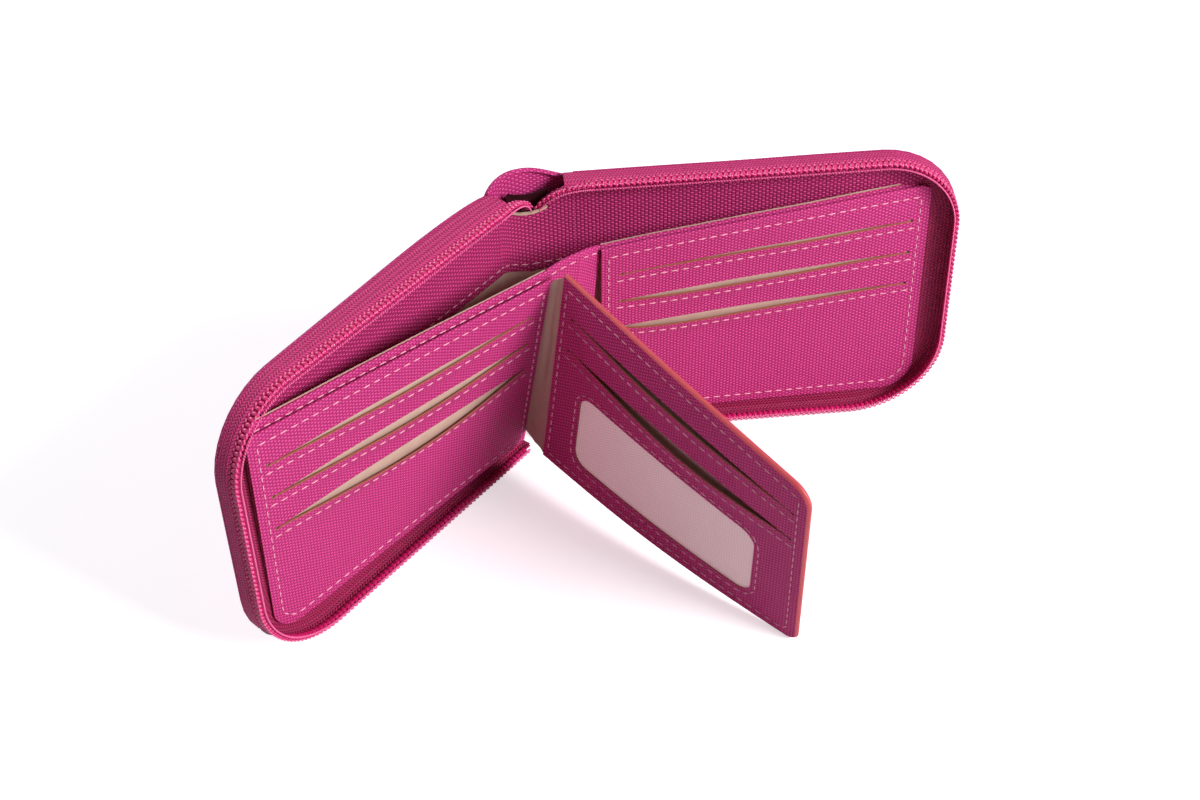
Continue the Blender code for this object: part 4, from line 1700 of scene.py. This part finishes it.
@dataclass
class ZipCoil:
    """The row of coil teeth round one half, and its end that tucks in at the spine."""

    side: Side
    start: float = 0.0085
    foot_gap: float = 0.0032
    bend_reach: float = 0.004

    def build(self) -> None:
        """Make and place the teeth and the sewing threads."""
        name = self.side.label
        wall = RimWall(self.side, inset=0.0011)
        first = self.start - wall.start_top
        last = wall.total - (self.foot_gap - wall.start_foot)
        teeth, threads = CoilRow().lay(first, last)
        coil = make_piece(f"zip_coil_teeth_{name}", teeth, wall, FINISHES.coil)
        place_on(coil, f"{name}_half", "zip_coil", f"zip_coil_{name}")
        sewn = make_piece(f"zip_coil_thread_{name}", threads, wall, FINISHES.coil_thread)
        place_on(sewn, f"{name}_half", "zip_coil")
        self._tuck(wall, first)

    def _tuck(self, wall: RimWall, first: float) -> None:
        """Make the end of the zip that leaves the wall and dives into the slot at the spine.

        Args:
            wall: the rim that the zip leaves; not used.
            first: where the zip leaves it; not used.
        """
        name, sign = self.side.label, self.side.value
        path = TuckPath(self.side)
        teeth, threads = CoilRow(level=0).lay(0.0008, path.length - 0.0010)
        tape = FlatCut((-0.0004, -0.0034), (path.length, 0.0012), 0.0008)
        tape.settle()
        crease = HalfPlace(self.side)
        for label, mesh, finish, slot, thickness in (
            ("teeth", teeth, FINISHES.coil, "zip_coil", 0.0),
            ("thread", threads, FINISHES.coil_thread, "zip_coil", 0.0),
            ("tape", tape.mesh, FINISHES.tape, "zip_tape", 0.0004),
        ):
            piece = make_piece(f"zip_end_{label}_{name}", mesh, path, finish, thickness=thickness)
            blend_on(piece, crease.point(self.bend_reach, 0, 0))


@dataclass
class Spine:
    """The cloth that joins the two halves, inside and out, and the bound slot at its top."""

    cell: float = 0.0011
    facing_top: float = 0.0885
    lining_foot: float = 0.0012
    lining_overlap: float = 0.008
    inner_thickness: float = 0.00025
    outer_thickness: float = 0.0007
    seam_above: float = 0.0026
    lip_low: FlatPoint = (-0.0054, 0)
    lip_high: FlatPoint = (0.0056, 0.0009)
    pocket_low: FlatPoint = (-0.0064, 0)
    pocket_high: FlatPoint = (0.0064, 0.0080)

    def build(self) -> None:
        """Make and place the pieces of the spine."""
        outer = SpineWrap(-0.001, 0.0005, outside=True, hump=0.0026)
        self._wrapped("spine_cloth", outer, 0.0, SHELL.height, FINISHES.cloth, "magenta_cloth", "spine_cover")
        facing = SpineWrap(0.0015, -0.0013, ease=0.008)
        foot = SHELL.facing_foot_right
        self._wrapped("spine_facing_cloth", facing, foot, self.facing_top, FINISHES.facing, "magenta_facing",
                      "spine_facing")
        self._sewn_foot(facing)
        lining = SpineWrap(0.0011, -0.0009, ease=0.008)
        self._wrapped("spine_lining_cloth", lining, self.lining_foot, foot + self.lining_overlap,
                      FINISHES.lining, "beige_lining", "spine_lining")
        self._binding(facing)

    def _binding(self, facing: SpineWrap) -> None:
        """Make the beige lip of the zip slot and, behind it, a pocket sheet coloured near black as painted
        shade in the slot's recess.

        Args:
            facing: the wrap that the slot is cut in.
        """
        lip = FlatCut(self.lip_low, self.lip_high, 0.0005)
        lip.settle()
        edge = SlotLip(facing, front=0.0006)
        piece = make_piece("zip_slot_lip", lip.mesh, edge, FINISHES.lining, thickness=0.0005)
        place_on(piece, "spine", "beige_lining", "zip_slot_binding")
        # The pocket is a near-black sheet: painted shade in the slot's recess.
        depth = FlatCut(self.pocket_low, self.pocket_high, 0.0008)
        depth.settle()
        behind = SlotLip(facing, front=0.0002, dive=True)
        pocket = make_piece("zip_slot_shade_sheet", depth.mesh, behind, FINISHES.slot_painted_shade, thickness=0.0003)
        place_on(pocket, "spine", "magenta_facing")

    @staticmethod
    def _facing_top(wrap: SpineWrap) -> Callable[[float], float]:
        """Return the facing's upper edge: the slot's edge in the middle, the covers' top at the creases.

        Args:
            wrap: the facing's surface.

        Returns:
            The edge's height at a distance from the middle.
        """
        lip = SlotLip(wrap, front=0.0)

        def level(a: float) -> float:
            """Return the edge's height at a distance from the middle."""
            slot = lip.level(a) + 0.0004
            side = within((abs(a) - lip.half + 0.001) / (wrap.span / 2 - lip.half))
            return between(slot, SHELL.height - 0.0012, side)

        return level

    def _sewn_foot(self, wrap: SpineWrap) -> None:
        """Sew along the lower edge of the facing across the spine.

        Args:
            wrap: the facing's surface.
        """
        reach = wrap.span / 2
        left, right = SHELL.facing_foot_left + self.seam_above, SHELL.facing_foot_right + self.seam_above
        lines = {Side.LEFT: [(-reach, left), (0.0, right)], Side.RIGHT: [(0.0, right), (reach, right)]}
        for side, line in lines.items():
            piece = stitching(f"spine_facing_stitching_{side.label}", wrap, [line], unpushed)
            self._bend(piece, side, "magenta_facing")

    @staticmethod
    def _bend(piece: bpy.types.Object, side: Side, slot: str) -> None:
        """Bake the transform of a piece of the spine into its mesh.

        Args:
            piece: the piece.
            side: whose crease it crosses.
            slot: its material slot; not used.
        """
        crease = HalfPlace(side)
        blend_on(piece, crease.point(0.0025, 0, 0))

    def _wrapped(self, name: str, wrap: SpineWrap, low: float, high: float,
                 finish: WovenFinish | PlainFinish, slot: str, node: str) -> None:
        """Make one wrap as two pieces, one on each side of the middle, and hide the solid that they stand for.

        Args:
            name: the start of the pieces' names.
            wrap: the surface that they hang on.
            low: their lower edge.
            high: their upper edge, before the facing's is shaped to the slot.
            finish: their finish.
            slot: their material slot in the record.
            node: the solid that they stand for.
        """
        reach = wrap.span / 2
        for side, (start, end) in {Side.LEFT: (-reach, 0.0), Side.RIGHT: (0.0, reach)}.items():
            cut = FlatCut((start, low), (end, high), self.cell)
            if node == "spine_facing":
                if side is Side.LEFT:
                    cut.raise_foot(SHELL.facing_foot_left - SHELL.facing_foot_right, 0.0)
                cut.shape_top(self._facing_top(wrap), 0.015)
            cut.settle()
            if wrap.outside:
                cut.roll_top(0.0009, 5)
            thickness = self.outer_thickness if wrap.outside else self.inner_thickness
            piece = make_piece(f"{name}_{side.label}", cut.mesh, wrap, finish, thickness=thickness)
            self._bend(piece, side, slot)
            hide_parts(node)


@dataclass
class DividerStrip:
    """The cloth that carries the bill divider across the spine, in two halves that meet at a pleat."""

    foot: float = 0.0050
    top: float = 0.0830
    pleat_foot: tuple[float, float, float] = (0.0005, -0.0125, 0.0048)
    pleat_top: tuple[float, float, float] = (0.0035, -0.0275, 0.0865)
    widest: tuple[float, float] = (0.0086, 0.0115)
    wider_from: float = 0.074
    wider_over: float = 0.006
    wider_by: float = 0.0010
    fold_turns: tuple[float, float] = (radians(12), radians(-6))
    fold_lean: float = 0.107
    belly: float = 0.0004
    seam_below_top: float = 0.0020
    seam_end: float = 0.001

    def build(self) -> None:
        """Make and place both halves."""
        for side, widest, turn in zip(Side, self.widest, self.fold_turns):
            name, surface = side.label, self._surface(side, widest)
            cut = FlatCut((0, self.foot), (surface.width, self.top), 0.0015)
            cut.settle()
            cut.roll_top(0.0006)
            strip = make_piece(f"divider_strip_cloth_{name}", cut.mesh, surface, FINISHES.cloth,
                               FINISHES.raw_edge, thickness=0.0003)
            place_on(strip, f"{name}_strip", "magenta_facing", f"divider_strip_{name}")
            row = self.top - self.seam_below_top
            line = [(self.seam_end, row), (surface.width - self.seam_end, row)]
            stitches = stitching(f"divider_strip_stitching_{name}", surface, [line], cut.pushed)
            place_on(stitches, f"{name}_strip", "magenta_facing")
            for piece in (strip, stitches):
                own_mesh(piece)

    def _surface(self, side: Side, widest: float) -> Ruled:
        """Return one half's surface, from the divider's spine edge to the pleat or back.

        Args:
            side: which half.
            widest: how far out its edge may lie.

        Returns:
            The surface.
        """
        sag = PANEL_SAGS[side]
        drape = PanelDrape(side, depth=CardPanel.divider_depth, spread=sag.divider_spread)
        inner = self._edge(drape, (drape.height + sag.divider_rise + 0.0003) / self.top, widest)
        foot, head = Vector(self.pleat_foot), Vector(self.pleat_top)
        edges = [inner, lambda b: foot.lerp(head, b / self.top)]
        width = (edges[0](self.top) - edges[1](self.top)).length
        if side is Side.RIGHT:
            edges.reverse()
        return Ruled(*edges, width, belly=self.belly)

    def _edge(self, drape: PanelDrape, stretch: float, widest: float) -> Callable[[float], Vector]:
        """Return the divider's spine edge as a line up the cloth, no wider than its fold allows.

        Args:
            drape: the divider's surface.
            stretch: its height over the strip's.
            widest: how far out the edge may lie.

        Returns:
            Gives the edge's point at a height.
        """
        def place(b: float) -> Vector:
            """Return the edge's point at a height."""
            point = drape.at(0, b * stretch)
            reach = widest + self.wider_by * within((b - self.wider_from) / self.wider_over)
            return Vector((min(max(point.x, -reach), reach), point.y, point.z))

        return place


@dataclass
class MiddleFlap:
    """The swinging flap: slotted face with a window, mesh, back, coral edge and beige hinge."""

    thickness: float = 0.0019
    slot_inset: float = 0.0049
    slot_length: float = 0.092
    first_drop: float = 0.0124
    pitch: float = 0.0123
    window_side: float = 0.013
    window_outer: float = 0.0168
    window_foot: float = 0.0086
    window_top: float = 0.0372
    window_radius: float = 0.005
    hinge_foot: float = 0.0060
    hinge_height: float = 0.0740
    slot_sags: Sequence[tuple[float, float, float]] = ((0.0014, 0.0008, 0.5), (0.0030, 0.0013, 0.55))
    corner_top: float = 0.006
    corner_foot: float = 0.003
    seam_in: float = 0.002
    seam_out: float = 0.003
    seam_below_top: float = 0.0034
    seam_below_slot: float = 0.0032
    window_hem: float = 0.003
    window_seam: float = 0.0018
    trim_bulge: float = 0.0007
    trim_steps: int = 6

    def build(self) -> None:
        """Make and place every piece of the flap."""
        self.drape = FlapDrape()
        self.low = (self.drape.start, 0.0)
        self.high = (self.drape.start + self.drape.width, self.drape.height)
        self._face()
        self._layers()
        self._edge()
        self._hinge()

    def _dress(self, piece: bpy.types.Object, slot: str, *nodes: str) -> None:
        """Place a piece on the flap and give it its own mesh.

        Args:
            piece: the piece.
            slot: its material slot.
            nodes: the solids that it stands for.
        """
        place_on(piece, "flap", slot, *nodes)
        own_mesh(piece)

    def _outline(self, cut: FlatCut) -> None:
        """Round the two outer corners."""
        cut.round_corner(True, True, self.corner_top)
        cut.round_corner(True, False, self.corner_foot)

    def _face(self) -> None:
        """Make the slotted face with its window, and its stitching."""
        start, top = self.low[0], self.high[1]
        cut = FlatCut(self.low, self.high, 0.0013)
        cut.lip = 0.0003
        self._outline(cut)
        low = (start + self.window_side, self.window_foot)
        high = (self.high[0] - self.window_outer, top - self.window_top)
        cut.cut_window(low, high, self.window_radius)
        first = start + self.slot_inset
        for index, sag in enumerate(self.slot_sags):
            height = top - self.first_drop - index * self.pitch
            cut.cut_slit(Slit(first, first + self.slot_length, height, *sag))
        cut.settle()
        face = make_piece("flap_face_cloth", cut.mesh, self.drape, FINISHES.cloth, FINISHES.raw_edge,
                          thickness=0.0004)
        self._dress(face, "magenta_cloth", "flap_face")
        left, right, row = start + self.seam_in, self.high[0] - self.seam_out, top - self.seam_below_top
        lines = [
            [(left, row), (right, row)],
            corner_line((left, 0.003), (right, top - 0.0045), 0.003),
            [(left, 0.004), (left, top - 0.0045)],
        ]
        for slit in cut.slits:
            below = slit.height - self.seam_below_slot
            lines.append([(slit.start - 0.0012, below), (slit.end + 0.0008, below)])
        lines.append(self._window_line(low, high))
        stitches = stitching("flap_face_stitching", self.drape, lines, cut.pushed, Thread(length=0.0024))
        self._dress(stitches, "magenta_cloth")
        hem = self.window_hem
        window = FlatCut((low[0] - hem, low[1] - hem), (high[0] + hem, high[1] + hem), 0.004)
        window.settle()
        mesh = make_piece("flap_window_mesh", window.mesh, FlapDrape(rise=-0.0006), FINISHES.mesh,
                          thickness=0.00015)
        self._dress(mesh, "window_mesh", "flap_window")

    def _window_line(self, low: FlatPoint, high: FlatPoint) -> list[FlatPoint]:
        """Return the line of stitches round the window.

        Args:
            low: the window's lower left corner.
            high: its upper right corner.

        Returns:
            The line's points.
        """
        out, radius = self.window_seam, self.window_radius + self.window_seam
        left, right, foot, top = low[0] - out, high[0] + out, low[1] - out, high[1] + out
        line: list[FlatPoint] = []
        corners = ((right, top, 0), (left, top, 1), (left, foot, 2), (right, foot, 3))
        for x, y, quarter in corners:
            centre = (x - radius if x == right else x + radius, y - radius if y == top else y + radius)
            for step in range(5):
                turn = (quarter + step / 4) * pi / 2
                line.append((centre[0] + radius * cos(turn), centre[1] + radius * sin(turn)))
        return [*line, line[0]]

    def _layers(self) -> None:
        """Make the two pocket linings and the back."""
        first, top = self.low[0] + self.slot_inset, self.high[1]
        for index in range(len(self.slot_sags)):
            height = top - self.first_drop - index * self.pitch
            high = (first + self.slot_length + 0.0015, height + 0.0018)
            cut = FlatCut((first - 0.002, height - 0.011), high, 0.003)
            cut.settle()
            behind = FlapDrape(rise=-0.0008 - 0.0002 * index)
            lining = make_piece(f"flap_pocket_lining_{index + 1}", cut.mesh, behind, FINISHES.lining,
                                thickness=0.0001)
            self._dress(lining, "beige_lining", f"flap_pocket_{index + 1}")
        cut = FlatCut(self.low, self.high, 0.003)
        self._outline(cut)
        cut.settle()
        behind = FlapDrape(rise=-self.thickness)
        behind.facing = -1
        back = make_piece("flap_back_cloth", cut.mesh, behind, FINISHES.cloth, thickness=0.0004)
        self._dress(back, "magenta_cloth", "flap_back")

    def _edge(self) -> None:
        """Make the coral painted edge along the top, the outer end and the foot."""
        cut = FlatCut(self.low, self.high, 0.0025)
        self._outline(cut)
        cut.settle()
        edges = cut.rim_edges(lambda p: p.x > self.low[0] + BESIDE)
        others = list(cut.mesh.faces)
        homes: list[tuple[Vector, Vector]] = []
        for step in range(1, self.trim_steps + 1):
            made = bmesh.ops.extrude_edge_only(cut.mesh, edges=edges)["geom"]
            edges = [g for g in made if isinstance(g, bmesh.types.BMEdge)]
            verts = [g for g in made if isinstance(g, bmesh.types.BMVert)]
            homes = homes or [(v.co.copy(), self._off(v.co)) for v in verts]
            share = step / self.trim_steps
            for vert in verts:
                home, away = min(homes, key=lambda pair: (pair[0].xy - vert.co.xy).length)
                bulge = self.trim_bulge * sin(pi * share)
                vert.co = home + away * bulge + Vector((0, 0, -self.thickness * share))
        bmesh.ops.delete(cut.mesh, geom=others, context="FACES")
        trim = make_piece("flap_edge_paint", cut.mesh, self.drape, FINISHES.coral, thickness=0.0002)
        self._dress(trim, "coral_edge", "flap_edge_trim")

    def _off(self, point: Vector) -> Vector:
        """Return the direction off the flap at a point of its outline.

        Args:
            point: a point of the flap's outline.

        Returns:
            The direction, one unit long.
        """
        right, top = self.high[0] - 0.004, self.high[1] - 0.004
        x = max(point.x - right, 0)
        y = point.y - min(max(point.y, 0.003), top)
        return Vector((x, y, 0)).normalized() if x or y else Vector((0, 1, 0))

    def _hinge(self) -> None:
        """Make the beige strip that hinges the flap to the left card panel."""
        panel = PanelDrape(Side.LEFT, depth=0.0002)
        foot, shrink = self.hinge_foot, self.hinge_height / self.drape.height
        width = self.drape.start + 0.0004
        surface = Ruled(
            lambda b: panel.at(0.0002, foot + b * shrink),
            lambda b: self.drape.lifted(width, b, -0.0004),
            width,
        )
        cut = FlatCut((0, 0), (width, self.drape.height), 0.0014)
        cut.settle()
        for vert in cut.mesh.verts:
            crumple = noise.noise(Vector((vert.co.x * 300, vert.co.y * 60, 5)))
            vert.co.z += 0.0007 * sin(pi * vert.co.x / width) * crumple
        strip = make_piece("flap_hinge_cloth", cut.mesh, surface, FINISHES.lining, thickness=0.0003)
        self._dress(strip, "beige_lining", "flap_hinge_strip")
        root = FlatCut((-0.0010, foot), (0.0012, foot + self.hinge_height), 0.0015)
        root.settle()
        under = PanelDrape(Side.LEFT, depth=0.0004)
        inner = make_piece("flap_hinge_root_cloth", root.mesh, under, FINISHES.lining, thickness=0.0003)
        place_on(inner, "left_panel", "beige_lining", "flap_hinge_root")
        drape = PanelDrape(Side.LEFT)
        drape.rest_anchor()
        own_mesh(inner)


@dataclass
class Studio:
    """Floor, light and camera."""

    azimuth: float = radians(-28.18)
    elevation: float = radians(41.82)
    roll: float = radians(-1.42)
    distance: float = 0.59159
    target: Vector = field(default_factory=lambda: Vector((0.00155, -0.04066, 0.04055)))
    lens: float = 58.565
    floor_glow: float = 0.60
    ambient: float = 0.05
    lit_point: tuple[float, float, float] = (0, -0.04, 0.04)

    def build(self) -> None:
        """Make the floor, the lights, the world and the camera."""
        self._floor()
        self._lights()
        self._camera()

    def _camera(self) -> None:
        """Stand the camera where the photograph was taken."""
        data = bpy.data.cameras.new("Camera")
        data.lens, data.sensor_width = self.lens, 36
        data.clip_start, data.clip_end = 0.01, 20
        camera = linked("Camera", data)
        flat = cos(self.elevation)
        back = Vector((sin(self.azimuth) * flat, -cos(self.azimuth) * flat, sin(self.elevation)))
        right = (-back).cross(Vector((0, 0, 1))).normalized()
        up = right.cross(-back)
        turned = right * cos(self.roll) + up * sin(self.roll)
        upper = up * cos(self.roll) - right * sin(self.roll)
        turn = Matrix((turned, upper, back)).transposed().to_4x4()
        camera.matrix_world = Matrix.Translation(self.target + back * self.distance) @ turn
        bpy.context.scene.camera = camera

    def _floor(self) -> None:
        """Lay a wide pale floor that the camera sees as white, apart from the shadow."""
        mesh = bmesh.new()
        bmesh.ops.create_grid(mesh, x_segments=4, y_segments=4, size=3)
        data = bpy.data.meshes.new("Studio floor")
        mesh.to_mesh(data)
        mesh.free()
        made, shader, principled = blank_material("Pale studio floor")
        principled.inputs["Base Color"].default_value = (0.78, 0.78, 0.79, 1)
        principled.inputs["Roughness"].default_value = 0.9
        principled.inputs["Specular IOR Level"].default_value = 0.1
        principled.inputs["Emission Color"].default_value = (1, 0.98, 1, 1)
        seen = shader.node("ShaderNodeLightPath").outputs["Is Camera Ray"]
        shader.link(shader.maths("MULTIPLY", seen, self.floor_glow), principled.inputs["Emission Strength"])
        data.materials.append(made)
        linked("Studio floor", data)

    def _lights(self) -> None:
        """Hang a soft key lamp in front and a weaker one behind, and light the rest from a pale world."""
        for name, place, size, power, colour in (
            ("Key lamp", (0.46, -0.83, 0.64), 0.38, 14.5, (1, 0.99, 0.98)),
            ("Back lamp", (-0.30, 0.80, 0.85), 0.6, 8.0, (0.98, 0.99, 1)),
        ):
            data = bpy.data.lights.new(name, "AREA")
            data.size, data.energy, data.color = size, power, colour
            lamp = linked(name, data)
            lamp.location = place
            away = Vector(place) - Vector(self.lit_point)
            lamp.rotation_euler = away.to_track_quat("Z", "Y").to_euler()
        world = bpy.data.worlds.new("Studio world")
        bpy.context.scene.world = world
        world.use_nodes = True
        shader = Shader(world.node_tree)
        ground = world.node_tree.nodes["Background"]
        ground.inputs["Color"].default_value = (1, 1, 1, 1)
        path = shader.node("ShaderNodeLightPath")
        glossy = shader.maths("MAXIMUM", path.outputs["Is Glossy Ray"], path.outputs["Is Transmission Ray"])
        seen = shader.maths("MAXIMUM", path.outputs["Is Camera Ray"], glossy)
        bright = shader.maths("MULTIPLY_ADD", seen, 1 - self.ambient, self.ambient)
        shader.link(bright, ground.inputs["Strength"])


def finish_hardware() -> None:
    """Give the solids that stay in view their finishes."""
    for node, finish in (
        ("board_left", FINISHES.board),
        ("board_right", FINISHES.board),
        ("slider_body", FINISHES.metal),
        ("pull_tab", FINISHES.metal),
    ):
        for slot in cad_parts[node].material_slots:
            slot.material = finish.material()


def main() -> None:
    """Dress the wallet."""
    logging.basicConfig(level=logging.INFO, format="%(name)s %(message)s")
    scene = bpy.context.scene
    scene.view_settings.view_transform = "Standard"
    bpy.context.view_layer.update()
    weave_group()
    twill_group()
    Studio().build()
    for side in Side:
        Cover(side).build()
        ZipCoil(side).build()
        CardPanel(side).build()
    Spine().build()
    DividerStrip().build()
    MiddleFlap().build()
    finish_hardware()


if __name__ == "__main__":
    main()
